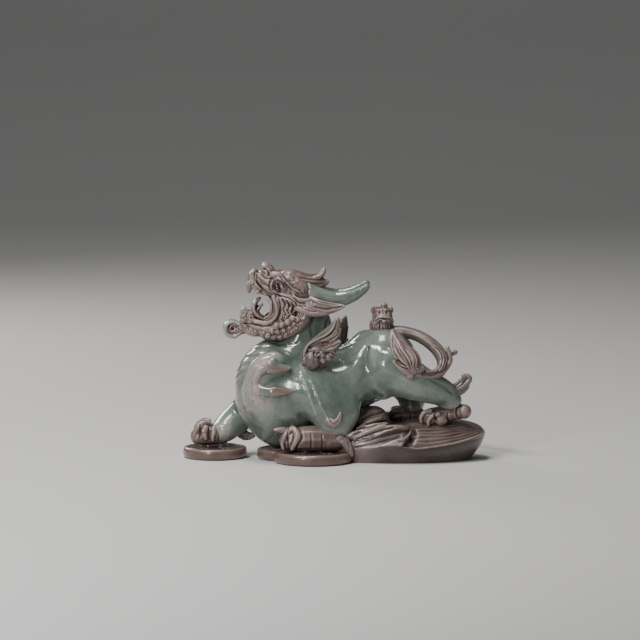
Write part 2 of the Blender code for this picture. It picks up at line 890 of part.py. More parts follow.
def make_cub():
    """The small cub that peers out from its own mane on top of the rump."""
    bm = bmesh.new()
    tube(
        bm,
        [(29.5, 0, 84, 6.8, 6.6), (29.8, 0, 87, 6.4, 6.2), (30.2, 0, 90.5, 5.4, 5.4)],
        normal=ALONG_Y,
        sides=10,
    )
    add_piece("cub_mane", bm, "violet_clay")
    bm = bmesh.new()
    ball(bm, (30, -1, 94.8), (6.2, 6, 5.2), 2)
    tube(bm, [(31, -3, 95.4, 4.8, 4.2), (33.5, -5.6, 94, 4, 3.6)], normal=UP, sides=10)
    for x, y in ((25.6, -3), (31.8, 3.2)):
        ball(bm, (x, y, 98.6), (1.8, 1.8, 2))
    skin = merged(bm, voxel=1.3, smooth_steps=2, keep=0.3)
    add_piece("cub_head", skin, "violet_clay")


# --- Assembly -------------------------------------------------------------------------------------


def centre_on_footprint():
    """Moves every piece so that the origin is the middle of the figure's underside."""
    boxes = [world_box(thing) for thing, _ in made_pieces]
    low = Vector(min(box[0][k] for box in boxes) for k in range(3))
    high = Vector(max(box[1][k] for box in boxes) for k in range(3))
    shift = Vector((-(low.x + high.x) / 2, -(low.y + high.y) / 2, -low.z))
    for thing, helper in made_pieces:
        for mover in (thing, helper):
            mover.location = shift
    print("drawing coordinates moved by", [round(value / MM, 3) for value in shift], "mm")


def main():
    """Makes the pieces in the order in which they are luted together."""
    clear_scene()
    make_coin("coin_front_left", COIN_FRONT_LEFT)
    make_coin("coin_front_right", COIN_FRONT_RIGHT)
    make_coin("coin_middle", COIN_MIDDLE)
    make_ingot()
    make_torso()
    make_limbs()
    make_cloud_scroll()
    make_chest_plate()
    make_spine_ridge()
    make_skull()
    make_lower_jaw()
    make_mouth_pieces()
    make_chin_beard()
    make_crest()
    for side in (LEFT, RIGHT):
        make_shoulder_flame(side)
        make_mane(side)
        make_head_trim(side)
        make_wing(side)
    make_tail()
    make_cub()
    centre_on_footprint()


main()
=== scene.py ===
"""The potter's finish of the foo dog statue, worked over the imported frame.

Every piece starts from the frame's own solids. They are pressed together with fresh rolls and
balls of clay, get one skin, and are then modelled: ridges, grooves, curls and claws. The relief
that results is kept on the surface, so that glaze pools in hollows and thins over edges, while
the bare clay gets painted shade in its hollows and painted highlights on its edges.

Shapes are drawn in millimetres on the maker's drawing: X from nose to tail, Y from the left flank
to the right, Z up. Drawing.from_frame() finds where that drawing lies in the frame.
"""

import logging
import math
from dataclasses import dataclass
from enum import Enum
from typing import Sequence

import bmesh
import bpy
import numpy as np
from mathutils import Matrix, Vector


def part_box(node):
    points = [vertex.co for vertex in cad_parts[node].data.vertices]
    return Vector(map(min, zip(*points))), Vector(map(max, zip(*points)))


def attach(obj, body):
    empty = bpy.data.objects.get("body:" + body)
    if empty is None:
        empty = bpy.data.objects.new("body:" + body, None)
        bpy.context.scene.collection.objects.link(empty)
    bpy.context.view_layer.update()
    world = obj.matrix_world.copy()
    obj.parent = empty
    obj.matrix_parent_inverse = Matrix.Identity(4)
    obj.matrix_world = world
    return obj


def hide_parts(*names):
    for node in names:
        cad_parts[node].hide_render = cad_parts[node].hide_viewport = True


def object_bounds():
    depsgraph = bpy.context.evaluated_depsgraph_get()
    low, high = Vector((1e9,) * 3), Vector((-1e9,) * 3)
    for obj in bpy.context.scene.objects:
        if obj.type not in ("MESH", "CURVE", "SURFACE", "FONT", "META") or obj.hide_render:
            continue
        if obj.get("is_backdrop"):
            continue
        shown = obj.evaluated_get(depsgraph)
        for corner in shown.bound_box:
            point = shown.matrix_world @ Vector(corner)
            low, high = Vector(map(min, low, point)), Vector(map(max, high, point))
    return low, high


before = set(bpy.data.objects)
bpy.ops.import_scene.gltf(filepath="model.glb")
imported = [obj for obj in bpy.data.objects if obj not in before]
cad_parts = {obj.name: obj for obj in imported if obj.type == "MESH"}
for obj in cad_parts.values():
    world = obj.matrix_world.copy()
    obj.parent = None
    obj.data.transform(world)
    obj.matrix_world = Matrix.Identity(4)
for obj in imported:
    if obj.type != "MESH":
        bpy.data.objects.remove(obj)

LOG = logging.getLogger("foo_dog")
BODY = "root"
MM = 0.001

Path = Sequence[Sequence[float]]


class View(Enum):
    """The side from which a stroke is drawn."""

    LEFT = (0.0, -1.0, 0.0)
    RIGHT = (0.0, 1.0, 0.0)
    FRONT = (-1.0, 0.0, 0.0)
    TOP = (0.0, 0.0, 1.0)
    BELOW = (0.0, 0.0, -1.0)


FLANKS = (View.LEFT, View.RIGHT)
SIDES = ((-1, "left", View.LEFT), (1, "right", View.RIGHT))


@dataclass(frozen=True)
class Drawing:
    """Where the maker's drawing lies in the frame."""

    shift: tuple[float, float, float]

    @classmethod
    def from_frame(
        cls, node: str = "coin_front_left", drawn: tuple[float, float] = (-14.5, -22.0)
    ) -> "Drawing":
        """Finds the drawing from one round coin whose centre is known on it.

        Args:
            node: The coin's node.
            drawn: The coin's centre on the drawing.

        Returns:
            The drawing's place.
        """
        low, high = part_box(node)
        return cls(
            (
                (low[0] + high[0]) / 2 / MM - drawn[0],
                (low[1] + high[1]) / 2 / MM - drawn[1],
                low[2] / MM,
            )
        )

    def on_drawing(self) -> Matrix:
        """The matrix from the frame, in metres, to the drawing."""
        return Matrix.Translation(-Vector(self.shift)) @ Matrix.Scale(1 / MM, 4)

    def in_frame(self) -> Matrix:
        """The matrix from the drawing to the frame, in metres."""
        return self.on_drawing().inverted()


DRAWING = Drawing.from_frame()

# Strokes on a flank are drawn as seen from slightly above: height on the drawing falls by this
# share of the distance from the middle plane.
LOOK_DOWN = 0.112


# --- Working clay ---------------------------------------------------------------------------------

NODE_WELD = 0.02 * MM  # corners of a node's solid that are this close are one
END_ANGLES = (30, 55, 78)  # rings of a roll's round end, in degrees
SPIRAL_POINTS = 14
SPIRAL_CLOSES = 0.85  # share of its radius that a spiral loses on the way in
FACING_GAIN = 4  # how soon a stroke fades where the skin turns away from the viewer
CURL_ROUND = 1.25  # a curl's raised round, as a share of its radius
CURL_GROOVE = 0.34  # its groove's width, likewise
CURL_DEPTH = 0.85  # its groove's depth, as a share of its height
RIPPLE_WAVES = 9
MARKS = ("thin", "bare_clay_and_shade", "glazed")


def smooth_path(path: Path, steps: int = 5) -> np.ndarray:
    """Adds points to a path on a smooth curve through its own.

    Args:
        path: The points.
        steps: Spans that each stretch is divided into.

    Returns:
        The finer path.
    """
    points = np.array(path, float)
    if len(points) < 3:
        return points
    padded = np.vstack([points[0], points, points[-1]])
    fine = []
    for k in range(len(points) - 1):
        a, b, c, d = padded[k : k + 4]
        for t in np.arange(steps) / steps:
            fine.append(
                0.5 * (
                    2 * b + (c - a) * t + (
                        2 * a - 5 * b + 4 * c - d
                    ) * t**2 + (3 * b - a - 3 * c + d) * t**3
                )
            )
    return np.vstack([*fine, points[-1]])


def spiral(
    centre: Sequence[float], radius: float, turns: float = 1.4, start: float = 90.0
) -> list[tuple[float, float]]:
    """A curl's line, from its rim to its middle.

    Args:
        centre: The middle.
        radius: Radius at the rim.
        turns: Turns, negative for the other way round.
        start: Angle at the rim in degrees.

    Returns:
        The line's points.
    """
    line = []
    for k in range(SPIRAL_POINTS):
        share = k / (SPIRAL_POINTS - 1)
        angle = math.radians(start + 360 * turns * share)
        reach = radius * (1 - SPIRAL_CLOSES * share)
        line.append((centre[0] + reach * math.cos(angle), centre[1] + reach * math.sin(angle)))
    return line


def add_tube(
    bm: bmesh.types.BMesh, stations: Path, normal: tuple = (0, 1, 0), sides: int = 16, steps: int = 4
) -> None:
    """Adds a roll of clay with round ends.

    Args:
        bm: The mesh that it is added to.
        stations: (x, y, z, half size across, half size towards normal) along the roll.
        normal: Direction of the second half size.
        sides: Sides of the roll.
        steps: Rings between stations.
    """
    fine = smooth_path(stations, steps)
    rings = []
    for k, station in enumerate(fine):
        tangent = Vector(fine[min(k + 1, len(fine) - 1)][:3] - fine[max(k - 1, 0)][:3]).normalized()
        rings.append((Vector(station[:3]), tangent, station[3], station[4]))
    angles = [math.radians(a) for a in END_ANGLES]
    ends = []
    for (centre, tangent, across, thick), sign in ((rings[0], -1), (rings[-1], 1)):
        reach = sign * min(across, thick)
        ends.append(
            [
                (centre + tangent * reach * math.sin(a), tangent, across * math.cos(a), thick * math.cos(a))
                for a in angles
            ]
        )
    loops = []
    for centre, tangent, across, thick in ends[0][::-1] + rings + ends[1]:
        flat = Vector(normal) - tangent * Vector(normal).dot(tangent)
        flat.normalize()
        turn = Matrix((flat.cross(tangent) * across, flat * thick, tangent)).transposed().to_4x4()
        made = bmesh.ops.create_circle(
            bm, segments=sides, radius=1.0, matrix=Matrix.Translation(centre) @ turn
        )
        loops.append(list({edge for vert in made["verts"] for edge in vert.link_edges}))
    for first, second in zip(loops, loops[1:]):
        bmesh.ops.bridge_loops(bm, edges=first + second)
    for end in (loops[0], loops[-1]):
        bmesh.ops.contextual_create(bm, geom=end)


def add_ball(bm: bmesh.types.BMesh, centre: Sequence[float], radii: Sequence[float]) -> None:
    """Adds a lump of clay.

    Args:
        bm: The mesh that it is added to.
        centre: Its middle.
        radii: Its three half sizes.
    """
    place = Matrix.Translation(Vector(centre)) @ Matrix.Diagonal((*radii, 1.0))
    bmesh.ops.create_icosphere(bm, subdivisions=3, radius=1.0, matrix=place)


class Clay:
    """A piece in the making: rough lumps, then one skin, then relief."""

    def __init__(
        self,
        name: str,
        *nodes: str,
        origin: tuple[float, float, float] = (0.0, 0.0, 0.0),
        turned: bool = False,
    ) -> None:
        """Starts a piece.

        Args:
            name: The piece's name.
            *nodes: The frame's nodes that it starts from and stands for; the one of its own name
                if none is given.
            origin: How far its rolls, lumps and strokes are moved on the drawing.
            turned: Whether it is turned anew, so that its nodes' solids aren't pressed in.
        """
        self.name = name
        self.nodes = list(nodes) or [name]
        self.origin = np.array(origin)
        self.rough = bmesh.new()
        self.marks: dict[str, np.ndarray] = {}
        if not turned:
            for node in self.nodes:
                self.press_in(node)

    def press_in(self, node: str) -> None:
        """Adds a copy of a node's solid."""
        part = bmesh.new()
        part.from_mesh(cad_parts[node].data)
        bmesh.ops.remove_doubles(part, verts=part.verts, dist=NODE_WELD)
        bmesh.ops.transform(part, matrix=DRAWING.on_drawing(), verts=part.verts)
        copy = bpy.data.meshes.new("copy")
        part.to_mesh(copy)
        part.free()
        self.rough.from_mesh(copy)
        bpy.data.meshes.remove(copy)

    def roll(self, *stations: Sequence[float], side: int = 1, normal: tuple = (0, 1, 0)) -> None:
        """Adds a roll of clay, see add_tube.

        Args:
            *stations: The roll's stations, drawn for the right side.
            side: -1 moves it to the left side.
            normal: Direction of the second half size.
        """
        placed = [(*(self.origin + (s[0], side * s[1], s[2])), *s[3:]) for s in stations]
        add_tube(self.rough, placed, (normal[0], side * normal[1], normal[2]))

    def lump(self, centre: Sequence[float], radii: Sequence[float], side: int = 1) -> None:
        """Adds a ball of clay, see add_ball.

        Args:
            centre: Its middle, drawn for the right side.
            radii: Its three half sizes.
            side: -1 moves it to the left side.
        """
        add_ball(self.rough, self.origin + (centre[0], side * centre[1], centre[2]), radii)

    def skin(self, voxel: float, smoothing: int = 4, swell: float = 0.15) -> None:
        """Makes one even skin round all that was added.

        Args:
            voxel: The size of its faces in millimetres.
            smoothing: Smoothing steps.
            swell: How far it is let out, which closes the seams to its neighbours.
        """
        rough = bpy.data.meshes.new(self.name + "_rough")
        bmesh.ops.recalc_face_normals(self.rough, faces=self.rough.faces)
        self.rough.to_mesh(rough)
        self.rough.free()
        helper = bpy.data.objects.new(self.name + "_rough", rough)
        bpy.context.scene.collection.objects.link(helper)
        remesh = helper.modifiers.new("skin", "REMESH")
        remesh.mode = "VOXEL"
        remesh.voxel_size = voxel
        graph = bpy.context.evaluated_depsgraph_get()
        self.mesh = bpy.data.meshes.new_from_object(helper.evaluated_get(graph), depsgraph=graph)
        self.mesh.name = self.name
        bpy.data.objects.remove(helper)
        bpy.data.meshes.remove(rough)
        count = len(self.mesh.vertices)
        self.co = np.empty(count * 3)
        self.mesh.vertices.foreach_get("co", self.co)
        self.co = self.co.reshape(-1, 3)
        self.edges = np.empty(len(self.mesh.edges) * 2, np.int64)
        self.mesh.edges.foreach_get("vertices", self.edges)
        self.edges = self.edges.reshape(-1, 2)
        self.faces = np.empty(len(self.mesh.loops), np.int64)
        self.mesh.loops.foreach_get("vertex_index", self.faces)
        self.faces = self.faces.reshape(-1, 4)
        self.links = np.bincount(self.edges.ravel(), minlength=count)
        self.co = self.softened(self.co, smoothing)
        self.settle()
        self.co += self.normal * swell

    def softened(self, values: np.ndarray, steps: int) -> np.ndarray:
        """Values on the skin's points, evened out between neighbours.

        Args:
            values: One row for each point.
            steps: How many times.

        Returns:
            The evened values.
        """
        first, second = self.edges.T
        columns = values.reshape(len(values), -1)
        for _ in range(steps):
            total = np.stack(
                [
                    np.bincount(
                        first, column[second], len(columns)
                    ) + np.bincount(second, column[first], len(columns))
                    for column in columns.T
                ],
                axis=1,
            )
            columns = 0.5 * columns + 0.5 * total / self.links[:, None]
        return columns.reshape(values.shape)

    def settle(self) -> None:
        """Works out the skin's outward directions anew."""
        a, b, c, d = (self.co[self.faces[:, k]] for k in range(4))
        flat = np.cross(c - a, d - b)
        total = np.stack(
            [
                np.bincount(self.faces.ravel(), np.repeat(flat[:, k], 4), len(self.co)) for k in range(3)
            ], axis=1
        )
        self.normal = total / np.maximum(np.linalg.norm(total, axis=1, keepdims=True), 1e-12)

    def seen(self, view: View | None) -> tuple[np.ndarray, np.ndarray]:
        """The skin as seen from one side.

        Args:
            view: The side, or None for places in space.

        Returns:
            The points' places on the drawing, and how well each faces the viewer, 0 to 1.
        """
        places = self.co - self.origin
        if view is None:
            return places, np.ones(len(places))
        x, y, z = places.T
        facing = np.clip(FACING_GAIN * (self.normal @ np.array(view.value)), 0, 1)
        if view in FLANKS:
            return np.stack([x, z - LOOK_DOWN * y * view.value[1]], 1), facing
        if view is View.FRONT:
            return np.stack([y, z], 1), facing
        return np.stack([x, y], 1), facing

    def nearness(
        self, path: Path, width: float, view: View | None, taper: float
    ) -> tuple[np.ndarray, np.ndarray]:
        """How close points are to a line.

        Args:
            path: The line.
            width: How far from the line it reaches.
            view: The side from which it is drawn.
            taper: How much narrower it is at its ends, 0 to 1.

        Returns:
            The numbers of the points within reach, and their closeness, 0 to 1.
        """
        places, facing = self.seen(view)
        line = smooth_path(path)
        inside = np.all(
            (places > line.min(0) - width) & (places < line.max(0) + width), axis=1
        ) & (facing > 0)
        index = np.flatnonzero(inside)
        points = places[index]
        best = np.full(len(index), np.inf)
        along = np.zeros(len(index))
        lengths = np.linalg.norm(np.diff(line, axis=0), axis=1)
        whole = max(lengths.sum(), 1e-9)
        done = 0.0
        for start, end, length in zip(line, line[1:], lengths):
            if length < 1e-9:
                continue
            share = np.clip((points - start) @ (end - start) / length**2, 0, 1)
            away = np.linalg.norm(points - start - share[:, None] * (end - start), axis=1)
            closer = away < best
            best[closer] = away[closer]
            along[closer] = ((done + share * length) / whole)[closer]
            done += length
        reach = width * (1 - taper * np.abs(2 * along - 1) ** 1.5)
        close = np.clip(1 - best / np.maximum(reach, 1e-6), 0, 1)
        return index, close * close * (3 - 2 * close) * facing[index]

    def line(self, path: Path, width: float, height: float, *views: View, taper: float = 0.6) -> None:
        """Raises a ridge along a line, or with a negative height cuts a groove.

        Args:
            path: The line.
            width: Half of the ridge's width.
            height: Its height.
            *views: The sides that get it; both flanks if none is named.
            taper: How much narrower it is at its ends.
        """
        for view in views or FLANKS:
            index, close = self.nearness(path, width, view, taper)
            self.co[index] += self.normal[index] * (height * close)[:, None]

    def lines(self, paths: Sequence[Path], width: float, height: float, *views: View) -> None:
        """Draws several lines, see line."""
        for path in paths:
            self.line(path, width, height, *views)

    def dot(self, centre: Sequence[float], radius: float, height: float, *views: View) -> None:
        """Raises a bead, or with a negative height presses a dimple.

        Args:
            centre: Its middle.
            radius: Its radius.
            height: Its height.
            *views: The sides that get it; both flanks if none is named.
        """
        near = [centre, (centre[0] + 0.01, *centre[1:])]
        self.line(near, radius, height, *views, taper=0.0)

    def curl(
        self,
        centre: Sequence[float],
        radius: float,
        height: float,
        *views: View,
        turns: float = 1.4,
        start: float = 90,
    ) -> None:
        """Models a curl: a raised round with a spiral groove.

        Args:
            centre: Its middle.
            radius: Its radius.
            height: Its height.
            *views: The sides that get it; both flanks if none is named.
            turns: Turns of the groove, negative for the other way round.
            start: Where the groove starts, in degrees.
        """
        self.dot(centre, radius * CURL_ROUND, height, *views)
        groove = spiral(centre, radius, turns, start)
        self.line(groove, radius * CURL_GROOVE, -height * CURL_DEPTH, *views, taper=0.2)

    def mark(self, name: str, path: Path, width: float, *views: View | None, amount: float = 1.0) -> None:
        """Marks the skin near a line for its finish.

        Args:
            name: The mark's name.
            path: The line.
            width: How far from it the mark reaches.
            *views: The sides that get it; both flanks if none is named.
            amount: The mark's strength.
        """
        values = self.marks.setdefault(name, np.zeros(len(self.co)))
        for view in views or FLANKS:
            index, close = self.nearness(path, width, view, 0.0)
            values[index] = np.maximum(values[index], amount * close)

    def ripple(self, size: float, height: float, seed: int) -> None:
        """Gives the skin the gentle unevenness of handwork.

        Args:
            size: Distance from swell to swell.
            height: Height of the swells.
            seed: Which of many patterns.
        """
        random = np.random.default_rng(seed)
        total = np.zeros(len(self.co))
        for _ in range(RIPPLE_WAVES):
            direction = random.normal(size=3)
            direction *= 2 * math.pi / size / np.linalg.norm(direction) * random.uniform(0.7, 1.4)
            total += np.sin(self.co @ direction + random.uniform(0, 2 * math.pi))
        self.co += self.normal * (height * total / 3)[:, None]

    def fire(self, finish: "Finish", scale: float = 0.35, reach: int = 14) -> bpy.types.Object:
        """Finishes the piece: its object rides on the frame and stands for its nodes.

        Args:
            finish: The finish it gets.
            scale: The height of relief, in millimetres, that shows at full strength.
            reach: How wide a neighbourhood counts as level.

        Returns:
            The piece's object.
        """
        self.settle()
        level = self.softened(self.co, reach)
        relief = np.einsum("ij,ij->i", self.co - level, self.normal)
        self.marks["relief"] = np.clip(self.softened(relief, 1) / scale, -1, 1)
        for name in MARKS:
            self.marks.setdefault(name, np.zeros(len(self.co)))
        matrix = np.array(DRAWING.in_frame())
        placed = self.co @ matrix[:3, :3].T + matrix[:3, 3]
        self.mesh.vertices.foreach_set("co", placed.astype(np.float32).ravel())
        self.mesh.polygons.foreach_set("use_smooth", np.ones(len(self.mesh.polygons), bool))
        for name, values in self.marks.items():
            layer = self.mesh.attributes.new(name, "FLOAT", "POINT")
            layer.data.foreach_set("value", values.astype(np.float32))
        self.mesh.materials.clear()
        self.mesh.materials.append(finish.material())
        self.mesh.update()
        return place_piece(self.name, self.mesh, self.nodes)

    def melt(self, low: Sequence[float], high: Sequence[float], fade: float, steps: int) -> None:
        """Melts the forms within a box into each other.

        Args:
            low: The box's lowest corner.
            high: Its highest corner.
            fade: How far inside the box the melting reaches its full strength.
            steps: Smoothing steps.
        """
        inside = np.minimum(self.co - np.array(low), np.array(high) - self.co).min(axis=1)
        share = np.clip(inside / fade, 0, 1)[:, None]
        self.co += (self.softened(self.co, steps) - self.co) * share
        self.settle()

    def scaled(self, about: Sequence[float], share: Sequence[float]) -> None:
        """Shrinks or stretches the piece.

        Args:
            about: The place that stays.
            share: New size as a share of the old one, along each axis.
        """
        self.co = np.array(about) + (self.co - np.array(about)) * np.array(share)
        self.settle()


def place_piece(name: str, mesh: bpy.types.Mesh, nodes: Sequence[str]) -> bpy.types.Object:
    """Puts a finished mesh into the scene as one of the statue's pieces.

    Args:
        name: The piece's name.
        mesh: Its mesh, placed in the frame.
        nodes: The nodes that it stands for.

    Returns:
        Its object.
    """
    piece = bpy.data.objects.new(name, mesh)
    bpy.context.scene.collection.objects.link(piece)
    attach(piece, BODY)
    if nodes:
        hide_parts(*nodes)
    LOG.info("%s: %d faces, stands for %s", name, len(mesh.polygons), ", ".join(nodes) or "no node")
    return piece


# --- Finishes -------------------------------------------------------------------------------------

Colour = tuple[float, float, float]


class Nodes:
    """A material's node tree, written as short calls."""

    def __init__(self, name: str) -> None:
        """Starts a material of this name."""
        self.material = bpy.data.materials.new(name)
        self.material.use_nodes = True
        self.tree = self.material.node_tree
        self.shader = self.tree.nodes["Principled BSDF"]
        self.place = self.tree.nodes.new("ShaderNodeTexCoord").outputs["Object"]

    def add(self, kind: str, inputs: dict, **settings) -> bpy.types.Node:
        """Adds a node.

        Args:
            kind: The node's type without its ShaderNode prefix.
            inputs: Values or sockets by input name or number.
            **settings: The node's own settings.

        Returns:
            The node.
        """
        node = self.tree.nodes.new("ShaderNode" + kind)
        for name, value in settings.items():
            setattr(node, name, value)
        self.feed(node, inputs)
        return node

    def feed(self, node: bpy.types.Node, inputs: dict) -> None:
        """Sets or links a node's inputs: values or sockets by input name or number."""
        for name, value in inputs.items():
            if isinstance(value, bpy.types.NodeSocket):
                self.tree.links.new(value, node.inputs[name])
            else:
                node.inputs[name].default_value = value

    def noise(self, scale: float, detail: float = 4.0, roughness: float = 0.55) -> bpy.types.NodeSocket:
        """Cloudy variation, 0 to 1, with scale in cycles per metre."""
        inputs = {"Vector": self.place, "Scale": scale, "Detail": detail, "Roughness": roughness}
        return self.add("TexNoise", inputs).outputs["Fac"]

    def mark(self, name: str) -> bpy.types.NodeSocket:
        """A mark on the piece's skin."""
        return self.add("Attribute", {}, attribute_name=name).outputs["Fac"]

    def ramp(
        self, value: bpy.types.NodeSocket, stops: Sequence[tuple[float, Colour]]
    ) -> bpy.types.NodeSocket:
        """Colours along a value.

        Args:
            value: The value.
            stops: (value, colour) pairs in rising order.

        Returns:
            The colour.
        """
        node = self.add("ValToRGB", {0: value})
        elements = node.color_ramp.elements
        while len(elements) < len(stops):
            elements.new(0.5)
        for element, (position, colour) in zip(elements, stops):
            element.position = position
            element.color = (*colour, 1.0)
        return node.outputs["Color"]

    def calc(self, operation: str, a, b, clamp: bool = False) -> bpy.types.NodeSocket:
        """Arithmetic on two values or sockets."""
        return self.add("Math", {0: a, 1: b}, operation=operation, use_clamp=clamp).outputs[0]

    def fit(
        self, value, low: float, high: float, to_low: float = 0.0, to_high: float = 1.0
    ) -> bpy.types.NodeSocket:
        """A value moved from one range to another, held inside it."""
        inputs = {0: value, 1: low, 2: high, 3: to_low, 4: to_high}
        return self.add("MapRange", inputs).outputs[0]

    def blend(self, share, a, b, mode: str = "MIX") -> bpy.types.NodeSocket:
        """Colour b laid over colour a by a share."""
        inputs = {0: share, 6: a if isinstance(a, bpy.types.NodeSocket) else (*a, 1.0)}
        inputs[7] = b if isinstance(b, bpy.types.NodeSocket) else (*b, 1.0)
        return self.add("Mix", inputs, data_type="RGBA", blend_type=mode).outputs[2]

    def crackle(self, scale: float, width: float) -> bpy.types.NodeSocket:
        """A net of fine cracks, 1 in a crack, with scale in cells per metre and width in cells."""
        wander = self.add(
            "TexNoise", {"Vector": self.place, "Scale": scale * 0.6, "Detail": 2.0}
        ).outputs["Color"]
        moved = self.add("VectorMath", {0: wander, 1: (0.35 / scale,) * 3}, operation="MULTIPLY").outputs[0]
        where = self.add("VectorMath", {0: self.place, 1: moved}, operation="ADD").outputs[0]
        inputs = {"Vector": where, "Scale": scale}
        edge = self.add("TexVoronoi", inputs, feature="DISTANCE_TO_EDGE").outputs["Distance"]
        return self.fit(edge, 0.0, width, 1.0, 0.0)

    def bump(
        self, height: bpy.types.NodeSocket, distance: float, strength: float, under=None
    ) -> bpy.types.NodeSocket:
        """Small relief of the surface, distance in metres."""
        inputs = {"Height": height, "Distance": distance, "Strength": strength}
        if under is not None:
            inputs["Normal"] = under
        return self.add("Bump", inputs).outputs["Normal"]


@dataclass(frozen=True)
class Finish:
    """What a surface is made of. Its material is made once."""

    name: str
    slot: str

    def material(self) -> bpy.types.Material:
        """The finish's material."""
        return bpy.data.materials.get(self.name) or self.build(Nodes(self.name))

    def build(self, nodes: Nodes) -> bpy.types.Material:
        """Writes the material's nodes."""
        raise NotImplementedError


@dataclass(frozen=True)
class CrackleGlaze(Finish):
    """Grey-green glaze: dark where it pools, pale where it thins, with the clay showing in places."""

    pooled: Colour = (0.020, 0.036, 0.031)
    deep: Colour = (0.075, 0.108, 0.092)
    even: Colour = (0.140, 0.178, 0.150)
    pale: Colour = (0.215, 0.252, 0.215)
    edge: Colour = (0.330, 0.350, 0.300)
    thin: Colour = (0.310, 0.262, 0.240)
    clay: Colour = (0.205, 0.112, 0.082)

    def build(self, nodes: Nodes) -> bpy.types.Material:
        """Writes the glaze's nodes."""
        broad = nodes.fit(nodes.noise(34.0, 5.0), 0.3, 0.7, -0.20, 0.17)
        patch = nodes.fit(nodes.noise(150.0, 6.0, 0.65), 0.3, 0.7, -0.10, 0.10)
        level = nodes.fit(nodes.mark("relief"), -1.0, 1.0)
        value = nodes.calc("ADD", nodes.calc("ADD", level, broad), patch)
        stops = [
            (0.05, self.pooled), (0.30, self.deep), (0.50, self.even), (0.72, self.pale), (0.97, self.edge)
        ]
        colour = nodes.ramp(value, stops)
        thin_share = nodes.calc(
            "MULTIPLY", nodes.mark("thin"), nodes.fit(nodes.noise(90.0), 0.25, 0.6, 0.6, 1.0)
        )
        thin = nodes.ramp(
            value, [(0.1, self.deep), (0.45, self.thin), (0.95, tuple(1.5 * c for c in self.thin))]
        )
        colour = nodes.blend(thin_share, colour, thin)
        warm_share = nodes.calc(
            "MULTIPLY", nodes.mark("bare_clay_and_shade"), nodes.fit(nodes.noise(120.0), 0.25, 0.6, 0.75, 1.0)
        )
        colour = nodes.blend(warm_share, colour, self.clay)
        cracks = nodes.crackle(230.0, 0.035)
        fine = nodes.crackle(520.0, 0.03)
        colour = nodes.blend(nodes.calc("MULTIPLY", cracks, 0.25), colour, self.pooled)
        colour = nodes.blend(nodes.calc("MULTIPLY", fine, 0.12), colour, self.pooled)
        specks = nodes.fit(nodes.noise(1400.0, 2.0), 0.66, 0.74, 0.0, 0.35)
        colour = nodes.blend(specks, colour, (0.07, 0.055, 0.045))
        swell = nodes.bump(nodes.noise(110.0, 2.0), 0.0006, 0.25)
        surface = nodes.bump(cracks, 0.00004, 0.2, swell)
        gloss = nodes.fit(nodes.noise(300.0, 3.0), 0.3, 0.7, 0.10, 0.20)
        inputs = {"Base Color": colour, "Roughness": gloss, "Normal": surface, "IOR": 1.5}
        inputs.update({"Coat Weight": 0.6, "Coat Roughness": 0.04, "Specular IOR Level": 0.55})
        nodes.feed(nodes.shader, inputs)
        return nodes.material


@dataclass(frozen=True)
class BareClay(Finish):
    """Unglazed violet-brown clay, with painted highlights on its edges and painted shade in its hollows."""

    # Painted shade in the deepest hollows; the same dark also speckles the clay's fine grain.
    hollow: Colour = (0.026, 0.015, 0.013)
    shade: Colour = (0.088, 0.051, 0.043)
    body: Colour = (0.195, 0.128, 0.114)
    # Painted highlight on raised edges.
    painted_highlight: Colour = (0.430, 0.340, 0.315)
    # Painted shade, laid where the mark of this name lies: steep or low sides and grooves.
    bare_clay_and_shade: Colour = (0.230, 0.108, 0.068)
    glaze: Colour = (0.300, 0.335, 0.280)
    satin: float = 0.34
    sheen: float = 0.45

    def build(self, nodes: Nodes) -> bpy.types.Material:
        """Writes the clay's nodes."""
        cloud = nodes.fit(nodes.noise(70.0, 5.0), 0.3, 0.7, -0.09, 0.09)
        level = nodes.fit(nodes.mark("relief"), -1.0, 1.0)
        value = nodes.calc("ADD", level, cloud)
        # Relief ramp: painted shade in hollows, painted highlight on raised edges.
        stops = [(0.08, self.hollow), (0.36, self.shade), (0.54, self.body), (0.9, self.painted_highlight)]
        colour = nodes.ramp(value, stops)
        # Painted shade on the places that the mark of this name covers.
        bare_clay_and_shade = nodes.calc(
            "MULTIPLY", nodes.mark("bare_clay_and_shade"), nodes.fit(nodes.noise(45.0, 4.0), 0.3, 0.65, 0.55, 1.0)
        )
        colour = nodes.blend(bare_clay_and_shade, colour, self.bare_clay_and_shade)
        grain = nodes.noise(2600.0, 3.0, 0.7)
        colour = nodes.blend(nodes.fit(grain, 0.35, 0.75, 0.0, 0.22), colour, self.hollow)
        glazed = nodes.fit(nodes.calc("ADD", nodes.mark("glazed"), cloud), 0.35, 0.6)
        colour = nodes.blend(glazed, colour, self.glaze)
        surface = nodes.bump(grain, 0.00005, 0.3, nodes.bump(nodes.noise(420.0, 3.0), 0.00018, 0.25))
        gloss = nodes.fit(nodes.noise(260.0, 4.0), 0.3, 0.7, self.satin - 0.06, self.satin + 0.08)
        gloss = nodes.calc("SUBTRACT", gloss, nodes.calc("MULTIPLY", glazed, 0.22))
        inputs = {"Base Color": colour, "Roughness": gloss, "Normal": surface, "IOR": 1.5}
        inputs.update({"Coat Weight": self.sheen, "Coat Roughness": 0.2, "Specular IOR Level": 0.6})
        nodes.feed(nodes.shader, inputs)
        return nodes.material


@dataclass(frozen=True)
class PelletGlaze(Finish):
    """The near-black glaze of the eyes."""

    colour: Colour = (0.012, 0.010, 0.010)

    def build(self, nodes: Nodes) -> bpy.types.Material:
        """Writes the glaze's nodes."""
        tone = nodes.blend(nodes.fit(nodes.noise(900.0), 0.3, 0.7), self.colour, (0.05, 0.03, 0.025))
        nodes.feed(nodes.shader, {"Base Color": tone, "Roughness": 0.08, "Coat Weight": 0.8, "IOR": 1.5})
        return nodes.material


